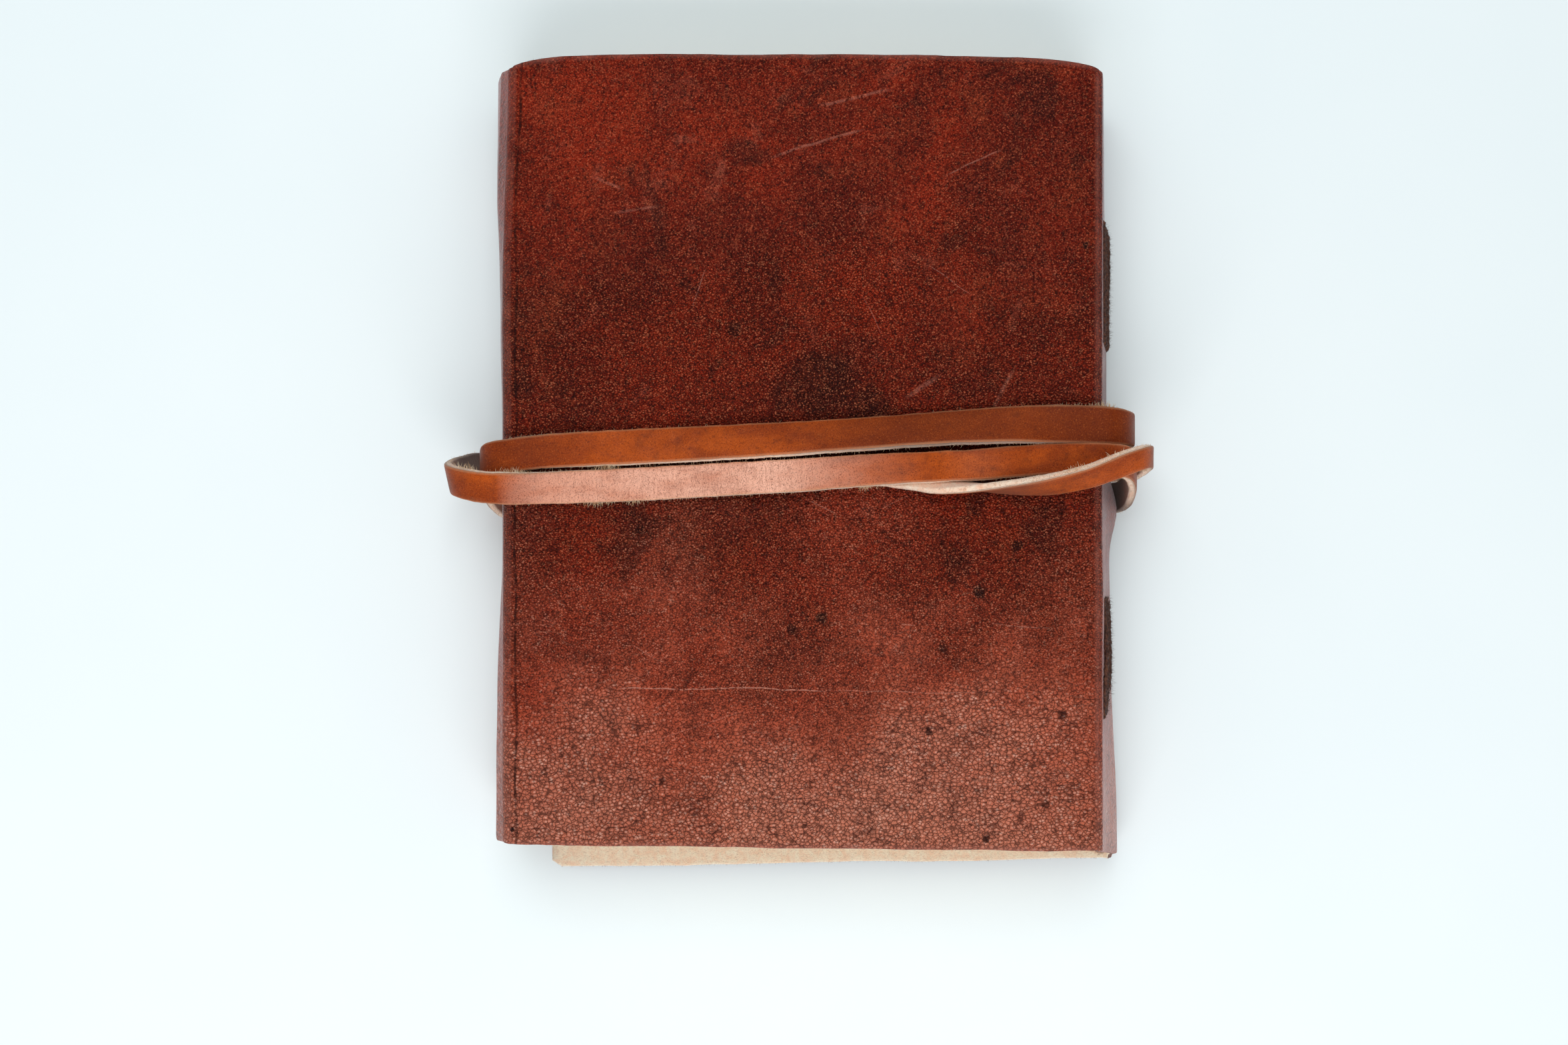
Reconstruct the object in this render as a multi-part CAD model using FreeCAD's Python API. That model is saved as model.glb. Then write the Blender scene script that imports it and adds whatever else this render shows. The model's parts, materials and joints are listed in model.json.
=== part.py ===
"""A wrap-around leather notebook, closed and tied, lying on its front cover.

One hide makes the front cover, the spine, the back cover, the fore-edge wrap and the closing flap.
Folded paper signatures are long-stitched through the spine with waxed thread, one thread each.
A leather strap is sewn to the front cover by its root, goes two and a half times round the book,
and its tip is tucked under its own second turn.

Millimetres. +Z is up, +X points to the spine and +Y to the head of the book. The model is laid out
round the middle of the back cover and moved at the end, so that the origin is the middle of the
bounding box at the table.
"""

import FreeCAD, Part
import math
import os

from FreeCAD import Vector

# ---------------------------------------------------------------- driving dimensions

# hide
leather = 2.0               # thickness of the hide
cover_width = 129.0         # back cover, fore-edge fold to spine corner
spine_lean = 6.4            # how far the foot of the spine stands out past its top
fore_edge_bulge = 2.8       # how far the fore-edge wrap stands out past its folds
front_cover_inset = 7.2     # the front cover stops this far inside the fore-edge fold
flap_width = 85.0           # closing flap, from the fore-edge fold to its free edge
fold_radius = 3.4           # outside radius of every fold
wrap_radius = 22.0          # outside radius at the middle of the fore-edge wrap
fold_setback = 3.6          # a rigid panel starts this far from its outer corner

# cut edges of the hide at the head (+Y) and the tail (-Y), from the middle of the back cover
head_wrap = 84.2            # at the fore-edge
head_crown = 85.7           # the highest point of the back cover's head edge
head_crown_x = -10.0
head_spine = 83.5
head_front = 82.0
tail_wrap = -83.9
tail_spine_top = -85.4
tail_spine_foot = -91.0
tail_front = -92.5

# paper
signature_count = 7
signature_thickness = 2.8
signature_gap = 0.1
fore_edge_margin = 9.0      # the pages are narrower than the cover by this
page_length = 160.0
page_middle_y = -3.0        # the pages sit this much off the middle of the back cover

# sewing
thread_diameter = 1.0
thread_bend = 0.9           # radius of the thread's line where it turns into a hole
hole_clearance = 0.15       # radial, thread to leather and thread to paper
station_offsets = (-55.0, -27.0, 27.0, 55.0)
thread_tail = 6.0           # what is left of a thread inside past its end stations
station_notch = 1.8         # length of the slit in the paper at a sewing station

# strap
strap_thickness = 1.8
strap_width = 6.6
strap_bend = 4.0            # outside radius of the strap at a bend
strap_side_gap = 0.8        # the strap stands this far off the foot of the spine
strap_loop = 8.0            # how far the loose loop stands out past the fore-edge wrap
strap_root_x = 32.0         # end of the root, under the front cover
strap_root_length = 14.0    # flat on the front cover, from the end of the root
strap_root_y = 5.2          # where the strap passes the middle of each side, towards the head
strap_left_y = 0.2          # first time down the fore edge: over the top
strap_left_low_y = -9.0     # and under the book
strap_second_low_y = -8.9   # second time up the spine: under the book
strap_second_y = -3.0       # and over the top
strap_loop_y = -6.9         # second time down the fore edge, the loose loop: over the top
strap_loop_low_y = -0.6     # and under the book
strap_third_y = -1.7        # third time up the spine
first_turn_bow = 4.0        # the first turn's bow towards the head, over the middle
second_turn_bow = 2.0       # the same of the second turn
corner_bow = 1.3            # bow of both before they go down at the spine
third_pass_dip = 2.2        # the third pass swings this far towards the tail, and back
strap_step = 6.0            # length over which the strap goes from one level to the next
strap_tip_x = -4.0          # end of the tucked tip
strap_tuck_x = (-12.0, 32.0)    # the second turn is lifted over the tip between these
strap_crossing_x = 50.0     # the third pass comes down off the second turn here

# anchor stitches, through the strap's root and the front cover
anchor_diameter = 0.8
anchor_from_end = 4.0       # first leg to the end of the root
anchor_length = 6.0         # between the legs of a stitch
anchor_from_edge = 1.7      # stitch to the strap's edge
anchor_bend = 0.7
staple_gap = 0.4            # between the two ends of a stitch, where it is knotted

# fits
seat = 0.3                  # between layers that lie on each other
paper_seat = 0.2            # between paper and leather
thread_seat = 0.1           # between the outer thread and the spine

# ---------------------------------------------------------------- levels and lines

flap_bottom = strap_thickness + seat
flap_top = flap_bottom + leather
front_bottom = flap_top + seat
front_top = front_bottom + leather
block_bottom = front_top + paper_seat
signature_pitch = signature_thickness + signature_gap
block_top = block_bottom + signature_count * signature_pitch - signature_gap
back_bottom = block_top + paper_seat
back_top = back_bottom + leather
top_layer = back_top + seat                              # underside of the strap on the cover
second_layer = top_layer + strap_thickness + seat        # underside of the strap over the strap

page_width = cover_width - fore_edge_margin
fold_x = -cover_width / 2
spine_x = cover_width / 2
spine_foot_x = spine_x + spine_lean
front_edge_x = fold_x + front_cover_inset
flap_edge_x = fold_x + flap_width
wrap_middle_z = (back_top + flap_bottom) / 2
lean_angle = math.atan2(spine_lean, back_top - front_bottom)
thread_radius = thread_diameter / 2
signature_radius = signature_thickness / 2
stations = [page_middle_y + offset for offset in station_offsets]

FAR = 300.0                 # longer than anything here, for cutting tools


def spine_outer_x(z):
    """Where the spine's outer face is at a height."""
    return spine_x + spine_lean * (back_top - z) / (back_top - front_bottom)


def signature_line(index):
    """(x, z) of the fold line of a signature, counted from the front cover."""
    z = block_bottom + signature_radius + index * signature_pitch
    back_off = (leather + paper_seat + signature_radius) / math.cos(lean_angle)
    return spine_outer_x(z) - back_off, z


# ---------------------------------------------------------------- small tools


def rounded_edges(points, radii, shift=0.0):
    """Edges of a path in the XZ plane with rounded corners, moved to its left by shift."""
    points = [Vector(x, 0, z) for x, z in points]
    ends = [points[0]]
    edges = []

    def left_of(direction):
        return Vector(-direction.z, 0, direction.x)

    for i in range(1, len(points)):
        before = (points[i] - points[i - 1]).normalize()
        start = ends[-1] + left_of(before) * (shift if i == 1 else 0.0)
        if i == len(points) - 1:
            edges.append(Part.LineSegment(start, points[i] + left_of(before) * shift).toShape())
            break
        after = (points[i + 1] - points[i]).normalize()
        turn = math.atan2(before.x * after.z - before.z * after.x, before.dot(after))
        side = math.copysign(1.0, turn)
        reach = radii[i - 1] * math.tan(abs(turn) / 2)
        centre = points[i] - before * reach + left_of(before) * (side * radii[i - 1])
        out = (points[i] - centre).normalize()
        arc_start = points[i] - before * reach + left_of(before) * shift
        arc_end = points[i] + after * reach + left_of(after) * shift
        arc_middle = centre + out * (radii[i - 1] - side * shift)
        edges.append(Part.LineSegment(start, arc_start).toShape())
        edges.append(Part.Arc(arc_start, arc_middle, arc_end).toShape())
        ends.append(arc_end)
    return edges


def strip(points, radii, thickness):
    """The face between a rounded path in the XZ plane and the same path moved to its left."""
    outside = rounded_edges(points, radii)
    inside = rounded_edges(points, radii, thickness)
    first = Part.LineSegment(outside[0].Vertexes[0].Point, inside[0].Vertexes[0].Point).toShape()
    last = Part.LineSegment(outside[-1].Vertexes[-1].Point, inside[-1].Vertexes[-1].Point).toShape()
    return Part.Face(Part.Wire(Part.__sortEdges__(outside + [last] + inside + [first])))


def prism(corners, plane, low=-FAR, high=FAR):
    """A polygon in the named plane, pushed out along the third axis from low to high."""
    place = {
        "XY": lambda a, b: Vector(a, b, low),
        "XZ": lambda a, b: Vector(a, low, b),
        "YZ": lambda a, b: Vector(low, a, b),
    }[plane]
    push = {"XY": Vector(0, 0, 1), "XZ": Vector(0, 1, 0), "YZ": Vector(1, 0, 0)}[plane]
    loop = [place(a, b) for a, b in corners]
    return Part.Face(Part.makePolygon(loop + loop[:1])).extrude(push * (high - low))


def along_y(face, low=-FAR / 2, high=FAR / 2):
    """A face in the XZ plane, made solid from low to high along Y."""
    body = face.extrude(Vector(0, high - low, 0))
    body.translate(Vector(0, low, 0))
    return body


def box(x0, x1, y0, y1, z0, z1):
    return Part.makeBox(x1 - x0, y1 - y0, z1 - z0, Vector(x0, y0, z0))


# ---------------------------------------------------------------- hide


def hide_section():
    """The hide's section: front cover, spine, back cover, fore-edge wrap and flap in one strip."""
    outside = [
        (front_edge_x, front_bottom),
        (spine_foot_x, front_bottom),
        (spine_x, back_top),
        (fold_x, back_top),
        (fold_x - fore_edge_bulge, wrap_middle_z),
        (fold_x, flap_bottom),
        (flap_edge_x, flap_bottom),
    ]
    radii = [fold_radius, fold_radius, fold_radius, wrap_radius, fold_radius]
    return along_y(strip(outside, radii, leather))


def back_cover_outline():
    """The back cover's cut edges seen from above: a crowned head and a slanted tail."""
    left = Vector(-FAR, head_wrap, 0)
    corner = Vector(fold_x, head_wrap, 0)
    right = Vector(spine_x, head_spine, 0)
    edges = [
        Part.LineSegment(left, corner).toShape(),
        Part.Arc(corner, Vector(head_crown_x, head_crown, 0), right).toShape(),
        Part.LineSegment(right, Vector(FAR, head_spine, 0)).toShape(),
    ]
    foot = [
        Vector(FAR, head_spine, 0),
        Vector(FAR, tail_spine_top, 0),
        Vector(spine_x, tail_spine_top, 0),
        Vector(fold_x, tail_wrap, 0),
        Vector(-FAR, tail_wrap, 0),
        left,
    ]
    edges += [Part.LineSegment(a, b).toShape() for a, b in zip(foot, foot[1:])]
    face = Part.Face(Part.Wire(edges))
    face.translate(Vector(0, 0, -FAR))
    return face.extrude(Vector(0, 0, 2 * FAR))


def hide_panels():
    """The hide cut at its folds. Panels are rigid; the folds between them bend."""
    hide = hide_section()
    outline = back_cover_outline()
    middle = (front_top + back_bottom) / 2
    upper = box(-FAR, FAR, -FAR, FAR, middle, FAR)
    cover_left = fold_x + fold_setback
    cover_right = spine_x - fold_setback
    foot_left = spine_foot_x - fold_setback
    spine_high = back_top - fold_setback
    spine_low = front_bottom + fold_setback
    wrap_high = back_top - fold_setback
    wrap_low = flap_bottom + fold_setback
    flap_middle = (flap_top + front_bottom) / 2

    back_cover = hide.common(box(cover_left, cover_right, -FAR, FAR, middle, FAR)).common(outline)
    upper_spine_fold = hide.common(box(cover_right, FAR, -FAR, FAR, spine_high, FAR)).common(outline)
    upper_wrap_fold = hide.common(box(-FAR, cover_left, -FAR, FAR, wrap_high, FAR)).common(outline)

    spine_edges = [
        (head_spine, spine_high),
        (tail_spine_top, spine_high),
        (tail_spine_foot, spine_low),
        (head_front, spine_low),
    ]
    spine = hide.common(box(0, FAR, -FAR, FAR, spine_low, spine_high))
    spine = spine.common(prism(spine_edges, "YZ"))

    foot_box = box(foot_left, FAR, tail_spine_foot, head_front, flap_middle, spine_low)
    lower_spine_fold = hide.common(foot_box)

    front_edges = [
        (-FAR, tail_front),
        (front_edge_x, tail_front),
        (foot_left, tail_spine_foot),
        (foot_left, head_front),
        (-FAR, head_front),
    ]
    front_cover = hide.common(box(-FAR, foot_left, -FAR, FAR, flap_middle, front_top + seat))
    front_cover = front_cover.common(prism(front_edges, "XY"))
    front_cover = front_cover.common(box(front_edge_x - seat, FAR, -FAR, FAR, 0, FAR))

    wrap_span = (-FAR, cover_left, tail_wrap, head_wrap)
    fore_edge = hide.common(box(*wrap_span, wrap_low, wrap_high))
    fore_edge = fore_edge.common(box(-FAR, front_edge_x - seat, -FAR, FAR, 0, FAR))
    lower_wrap_fold = hide.common(box(*wrap_span, 0, wrap_low))
    flap = hide.common(box(cover_left, FAR, tail_wrap, head_wrap, 0, flap_middle))

    for index in range(signature_count):
        for y in stations:
            hole = sewing_hole(index, y)
            spine = spine.cut(hole)
            upper_spine_fold = upper_spine_fold.cut(hole)
            lower_spine_fold = lower_spine_fold.cut(hole)
    front_cover = front_cover.cut(anchor_room())
    return {
        "back_cover": back_cover,
        "spine_panel": spine,
        "front_cover": front_cover,
        "fore_edge_wrap": fore_edge,
        "closing_flap": flap,
        "upper_spine_fold": upper_spine_fold,
        "lower_spine_fold": lower_spine_fold,
        "upper_fore_edge_fold": upper_wrap_fold,
        "lower_fore_edge_fold": lower_wrap_fold,
    }


def sewing_hole(index, y):
    """The hole in the spine where a signature's thread passes at one station."""
    x, z = signature_line(index)
    return Part.makeCylinder(thread_radius + hole_clearance, FAR, Vector(x, y, z), Vector(1, 0, 0))


# ---------------------------------------------------------------- paper and thread


def signature(index):
    """A folded stack of sheets: flat leaves with a round back, bored for its thread."""
    x, z = signature_line(index)
    y0 = page_middle_y - page_length / 2
    leaves = box(x - page_width, x, y0, y0 + page_length, z - signature_radius, z + signature_radius)
    back = Part.makeCylinder(signature_radius, page_length, Vector(x, y0, z), Vector(0, 1, 0))
    bore_radius = thread_radius + hole_clearance
    bore = Part.makeCylinder(bore_radius, page_length, Vector(x, y0, z), Vector(0, 1, 0))
    body = leaves.fuse(back).removeSplitter().cut(bore)
    for y in stations:
        slit_span = (y - station_notch / 2, y + station_notch / 2)
        body = body.cut(box(x - bore_radius, x + FAR, *slit_span, z - FAR, z + FAR))
    return body


def round_bar(route, bend, radius):
    """A round bar along a rounded path in the XZ plane."""
    spine = Part.Wire(Part.__sortEdges__(rounded_edges(route, [bend] * (len(route) - 2))))
    start = spine.Vertexes[0].Point
    direction = Vector(route[1][0] - route[0][0], 0, route[1][1] - route[0][1])
    profile = Part.Wire([Part.makeCircle(radius, Vector(route[0][0], 0, route[0][1]), direction)])
    return spine.makePipeShell([profile], True, False)


def thread(index):
    """One signature's thread: inside its fold, out through the spine and along it, twice."""
    x, z = signature_line(index)
    outside = spine_outer_x(z) + thread_radius / math.cos(lean_angle) + thread_seat
    first, second, third, last = stations
    route = [
        (x, first - thread_tail),
        (x, first),
        (outside, first),
        (outside, second),
        (x, second),
        (x, third),
        (outside, third),
        (outside, last),
        (x, last),
        (x, last + thread_tail),
    ]
    bar = round_bar([(a, -b) for a, b in route], thread_bend, thread_radius)
    bar.rotate(Vector(0, 0, 0), Vector(1, 0, 0), 90)
    bar.translate(Vector(0, 0, z))
    return bar


# ---------------------------------------------------------------- strap

# Each leg of the strap runs from one side of the book to the next. In the XZ plane its outer face
# follows a rounded path. Its middle line is a chain of (x, y), or of (z, y) where it climbs a side.
strap_outer_right = spine_foot_x + strap_side_gap + strap_thickness
strap_far_right = strap_outer_right + strap_thickness + 2 * seat
strap_outer_left = fold_x - fore_edge_bulge - seat - strap_thickness
strap_loop_left = fold_x - fore_edge_bulge - strap_loop
side_low = 2 * strap_bend             # the strap slants between these levels on its way up or down
side_high = back_bottom - strap_bend
top_outer = top_layer + strap_thickness
second_outer = second_layer + strap_thickness
root_bottom = front_bottom - seat - strap_thickness

root_line = [(0.0, strap_root_y), (strap_outer_right, strap_root_y)]
first_turn = [
    (strap_outer_left, strap_left_y),
    (fold_x, strap_left_y),
    (0.0, strap_left_y + first_turn_bow),
    (spine_x, strap_root_y + corner_bow),
    (strap_outer_right, strap_root_y),
]
first_side = [(side_high, strap_left_y), (side_low, strap_left_low_y)]
first_under = [(strap_outer_left, strap_left_low_y), (strap_outer_right, strap_second_low_y)]
second_side = [(side_low, strap_second_low_y), (side_high, strap_second_y)]
second_turn = [
    (strap_loop_left, strap_loop_y),
    (fold_x, strap_loop_y),
    (0.0, strap_loop_y + second_turn_bow),
    (spine_x - 2 * strap_bend, strap_second_y + corner_bow),
    (strap_outer_right, strap_second_y),
]
loop_side = [(side_high, strap_loop_y), (side_low, strap_loop_low_y)]
second_under = [(strap_loop_left, strap_loop_low_y), (strap_far_right, strap_third_y)]
third_pass = [
    (strap_tip_x, strap_loop_y),
    (strap_crossing_x - 2 * strap_step, strap_loop_y - third_pass_dip),
    (strap_crossing_x, strap_loop_y - third_pass_dip),
    (strap_crossing_x + 2 * strap_step, strap_loop_y + third_pass_dip),
    (strap_far_right, strap_third_y),
]


def strap_leg(points, chain, plane="XY"):
    """A length of strap: its outer face follows a rounded path, and its middle line the chain."""
    radii = [strap_bend] * (len(points) - 2)
    band = along_y(strip(points, radii, strap_thickness))
    half = strap_width / 2
    if plane == "XY":
        edges = [(x, y - half) for x, y in chain] + [(x, y + half) for x, y in reversed(chain)]
    else:
        edges = [(y - half, z) for z, y in chain] + [(y + half, z) for z, y in reversed(chain)]
    return band.common(prism(edges, plane))


def slanting_leg(x, chain):
    """A length of strap up or down a side of the book; the chain gives Z and Y."""
    return strap_leg([(x, z) for z, y in chain], chain, "YZ")


def strap():
    """The strap in one piece, from its root to its tucked tip."""
    tuck_left, tuck_right = strap_tuck_x
    root = [
        (strap_root_x, root_bottom),
        (strap_root_x + strap_root_length, root_bottom),
        (strap_root_x + strap_root_length + strap_step, 0),
        (strap_outer_right, 0),
        (strap_outer_right, side_low),
    ]
    over_first = [
        (strap_outer_right, side_low),
        (strap_outer_right, top_outer),
        (strap_outer_left, top_outer),
        (strap_outer_left, side_high),
    ]
    under_first = [
        (strap_outer_left, side_low),
        (strap_outer_left, 0),
        (strap_outer_right, 0),
        (strap_outer_right, side_low),
    ]
    over_second = [
        (strap_outer_right, side_high),
        (strap_outer_right, top_outer),
        (tuck_right + strap_step, top_outer),
        (tuck_right, second_outer),
        (tuck_left, second_outer),
        (tuck_left - strap_step, top_outer),
        (strap_loop_left, top_outer),
        (strap_loop_left, side_high),
    ]
    under_second = [
        (strap_loop_left, side_low),
        (strap_loop_left, 0),
        (strap_far_right, 0),
        (strap_far_right, side_low),
    ]
    over_third = [
        (strap_far_right, side_low),
        (strap_far_right, second_outer),
        (strap_crossing_x, second_outer),
        (strap_crossing_x - strap_step, top_outer),
        (strap_tip_x, top_outer),
    ]
    legs = [
        strap_leg(root, root_line),
        strap_leg(over_first, first_turn),
        slanting_leg(strap_outer_left, first_side),
        strap_leg(under_first, first_under),
        slanting_leg(strap_outer_right, second_side),
        strap_leg(over_second, second_turn),
        slanting_leg(strap_loop_left, loop_side),
        strap_leg(under_second, second_under),
        strap_leg(over_third, third_pass),
    ]
    return legs[0].fuse(legs[1:]).removeSplitter()


def anchor_lines():
    """The Y of each anchor stitch."""
    reach = strap_width / 2 - anchor_from_edge
    return [strap_root_y - reach, strap_root_y + reach]


def anchor_legs():
    """The X of a stitch's two legs."""
    first = strap_root_x + anchor_from_end
    return first, first + anchor_length


def anchor_room():
    """Holes for the stitches' legs, and grooves in the front cover for their inner runs."""
    radius = anchor_diameter / 2 + hole_clearance
    left, right = anchor_legs()
    depth = anchor_diameter + 2 * hole_clearance
    tools = []
    for y in anchor_lines():
        for x in (left, right):
            start = Vector(x, y, root_bottom - seat)
            tools.append(Part.makeCylinder(radius, front_top - root_bottom + 2 * seat, start))
        groove_ends = (left - radius, right + radius)
        tools.append(box(*groove_ends, y - radius, y + radius, front_top - depth, front_top + seat))
    return tools[0].fuse(tools[1:])


def anchor_stitch(y):
    """One stitch: a closed staple, with its outer run under the strap."""
    left, right = anchor_legs()
    radius = anchor_diameter / 2
    low = root_bottom - radius - thread_seat
    high = front_top - hole_clearance - radius
    middle = (left + right) / 2
    ends = (middle, low), (middle - staple_gap, low)
    route = [ends[0], (right, low), (right, high), (left, high), (left, low), ends[1]]
    bar = round_bar(route, anchor_bend, radius)
    bar.translate(Vector(0, y, 0))
    return bar


# ---------------------------------------------------------------- assembly


def all_parts():
    """Every piece by its name."""
    parts = hide_panels()
    for index in range(signature_count):
        parts[f"signature_{index + 1}"] = signature(index)
        parts[f"thread_{index + 1}"] = thread(index)
    parts["strap"] = strap().cut(anchor_room())
    for number, y in enumerate(anchor_lines(), 1):
        parts[f"anchor_stitch_{number}"] = anchor_stitch(y)
    return parts


def main():
    os.makedirs("parts", exist_ok=True)
    parts = all_parts()
    bounds = FreeCAD.BoundBox()
    for shape in parts.values():
        bounds.add(shape.BoundBox)
    shift = Vector(-(bounds.XMin + bounds.XMax) / 2, -(bounds.YMin + bounds.YMax) / 2, -bounds.ZMin)
    for name, shape in parts.items():
        shape.translate(shift)
        shape.exportStep(f"parts/{name}.step")
        print(name, len(shape.Solids), round(shape.Volume, 1), shape.isValid(), shape.BoundBox)
    print("shift", shift)


main()
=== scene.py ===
"""Looks of a leather wrap journal, closed and tied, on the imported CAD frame.

Sizes below are in millimetres unless a name says otherwise; mm() turns them into metres. The hide
is one piece of leather seen in four meshes, which meet where it is stiff and bend across its folds.
"""

import json
import math
import random
from collections import namedtuple

import bpy
from mathutils import Matrix, Vector, noise


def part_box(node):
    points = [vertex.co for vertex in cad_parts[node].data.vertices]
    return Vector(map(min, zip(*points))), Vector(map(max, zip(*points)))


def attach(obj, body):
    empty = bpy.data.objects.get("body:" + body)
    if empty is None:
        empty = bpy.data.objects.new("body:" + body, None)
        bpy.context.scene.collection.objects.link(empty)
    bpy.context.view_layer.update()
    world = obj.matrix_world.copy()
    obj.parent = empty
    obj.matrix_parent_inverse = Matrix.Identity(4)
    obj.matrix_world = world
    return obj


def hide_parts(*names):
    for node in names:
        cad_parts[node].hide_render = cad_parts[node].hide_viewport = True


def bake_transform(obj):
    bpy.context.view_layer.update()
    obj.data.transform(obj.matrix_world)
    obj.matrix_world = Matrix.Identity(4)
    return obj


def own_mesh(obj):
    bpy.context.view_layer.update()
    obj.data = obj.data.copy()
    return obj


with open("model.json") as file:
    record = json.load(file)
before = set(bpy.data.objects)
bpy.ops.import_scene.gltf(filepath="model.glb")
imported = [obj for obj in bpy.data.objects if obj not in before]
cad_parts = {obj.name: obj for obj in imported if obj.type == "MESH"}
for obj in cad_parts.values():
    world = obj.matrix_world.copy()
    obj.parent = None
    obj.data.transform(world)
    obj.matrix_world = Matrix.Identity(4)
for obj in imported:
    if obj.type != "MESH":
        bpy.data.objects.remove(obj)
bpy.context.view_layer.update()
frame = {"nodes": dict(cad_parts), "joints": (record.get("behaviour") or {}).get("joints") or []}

random.seed(11)


# ---------------- sizes


def mm(*values):
    """Millimetres to metres, as a vector."""
    return Vector(values) * 0.001


def corners(node):
    """A node's lowest and highest corners, in millimetres."""
    low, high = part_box(node)
    return Vector(low) * 1000, Vector(high) * 1000


def hinge(name):
    """The X and Z of a joint's line, in millimetres."""
    joint = next(j for j in frame["joints"] if j["name"] == name)
    return joint["pos_m"][0] * 1000, joint["pos_m"][2] * 1000


COVER_LOW, COVER_HIGH = corners("back_cover")
WRAP_LOW, WRAP_HIGH = corners("fore_edge_wrap")
FLAP_LOW, FLAP_HIGH = corners("closing_flap")
FRONT_LOW, FRONT_HIGH = corners("front_cover")

LEATHER = COVER_HIGH.z - COVER_LOW.z
SPINE_X, BACK_TOP = hinge("back_cover_hinge")
FOLD_X = hinge("fore_edge_fold")[0] - LEATHER / 2
FLAP_BOTTOM = FLAP_LOW.z
FRONT_BOTTOM = FRONT_LOW.z
HEIGHT = BACK_TOP - FRONT_BOTTOM
SPINE_LEAN = 6.4            # the spine's foot stands out this far past its top
SPINE_FOOT_X = SPINE_X + SPINE_LEAN
SPINE_TWIST = 1.4           # the spine's foot leans out more at the tail and less at the head
SPINE_FLARE = 1.2           # and further at its tail end
SPINE_BULGE = 2.6           # and beside the strap
WRAP_LEAN = 1.2             # the fore edge leans back this far at the head
HEAD_LIFT = 0.85            # the back cover's head edge stands this far past its solid
TAIL_SLACK = 1.2            # and the front cover's tail edge this far past its own
FOLD_RADIUS = 3.4
WRAP_RADIUS = 22
WRAP_POINT_X = WRAP_LOW.x - 0.4     # the wrap's rounded corner is drawn from this point
PANEL_SETBACK = SPINE_X - COVER_HIGH.x
CORNER = 1.5                # radius of the hide's free corners

HEAD_CROWN = COVER_HIGH.y
HEAD_SPINE = corners("spine_panel")[1].y
HEAD_WRAP = WRAP_HIGH.y
HEAD_FRONT = FRONT_HIGH.y
TAIL_WRAP = WRAP_LOW.y
TAIL_SPINE_TOP = corners("upper_spine_fold")[0].y
TAIL_FOOT = corners("lower_spine_fold")[0].y
TAIL_FRONT = FRONT_LOW.y

# The middle of the back cover, where the places of marks and of the strap are measured from.
BOOK_X = (FOLD_X + SPINE_X) / 2
BOOK_Y = HEAD_WRAP - 84.2
HALF_COVER = 85             # from there to the head or the tail edge, near enough


# ---------------- small tools


def smooth(value, low, high):
    """0 below low, 1 above high, and an easy step between."""
    t = min(1, max(0, (value - low) / (high - low)))
    return t * t * (3 - 2 * t)


def mix(a, b, t):
    return a + (b - a) * t


def wander(x, y, z=0, size=1, octaves=3):
    """Smooth seeded noise between about -1 and 1."""
    return noise.fractal(Vector((x, y, z)) / size, 1, 2, octaves)


def make_object(name, points, faces, slots, face_slots=None, **carried):
    """A smooth mesh object from millimetre points, and vectors that each point carries."""
    mesh = bpy.data.meshes.new(name)
    mesh.from_pydata([tuple(Vector(p) * 0.001) for p in points], [], faces)
    for material in slots:
        mesh.materials.append(material)
    if face_slots:
        mesh.polygons.foreach_set("material_index", face_slots)
    mesh.polygons.foreach_set("use_smooth", [True] * len(mesh.polygons))
    mesh.update()
    for key, values in carried.items():
        attribute = mesh.attributes.new(key, "FLOAT_VECTOR", "POINT")
        attribute.data.foreach_set("vector", [c for value in values for c in value])
    item = bpy.data.objects.new(name, mesh)
    bpy.context.scene.collection.objects.link(item)
    return item


def tube_faces(rings, size, first=0):
    """Quads between closed rings of so many points, which start at the first point given."""
    faces = []
    for ring in range(rings - 1):
        for j in range(size):
            a = first + ring * size + j
            b = first + ring * size + (j + 1) % size
            faces.append((a, b, b + size, a + size))
    return faces


def tube_ends(rings, size):
    """The two end faces of such a tube."""
    last = (rings - 1) * size
    return tuple(reversed(range(size))), tuple(range(last, last + size))


def neighbours(line, k):
    """The points before and after one on a line, or the point itself where the line ends."""
    return line[max(0, k - 1)], line[min(len(line) - 1, k + 1)]


def smooth_curve(stations, count):
    """Points of a Catmull-Rom curve through tuples of numbers, evenly many for each span."""
    padded = [stations[0]] + list(stations) + [stations[-1]]
    result = []
    for a, b, c, d in zip(padded, padded[1:], padded[2:], padded[3:]):
        for step in range(count):
            t = step / count
            result.append(tuple(
                0.5 * (2 * q + (r - p) * t + (2 * p - 5 * q + 4 * r - s) * t * t
                       + (3 * q - p - 3 * r + s) * t ** 3)
                for p, q, r, s in zip(a, b, c, d)
            ))
    result.append(tuple(stations[-1]))
    return result


def respaced(points, step):
    """Tuples re-sampled so that their first three numbers are a step apart."""
    lengths = [0]
    for a, b in zip(points, points[1:]):
        lengths.append(lengths[-1] + math.dist(a[:3], b[:3]))
    count = max(2, round(lengths[-1] / step))
    result = []
    index = 0
    for k in range(count + 1):
        target = lengths[-1] * k / count
        while index < len(lengths) - 2 and lengths[index + 1] < target:
            index += 1
        span = lengths[index + 1] - lengths[index]
        t = (target - lengths[index]) / span if span else 0
        result.append(tuple(mix(p, q, t) for p, q in zip(points[index], points[index + 1])))
    return result


# ---------------- the hide's line

# A place on the hide's outer face: X and Z, the way inwards, and the distance along the hide.
Station = namedtuple("Station", "x z inward_x inward_z s")


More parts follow.
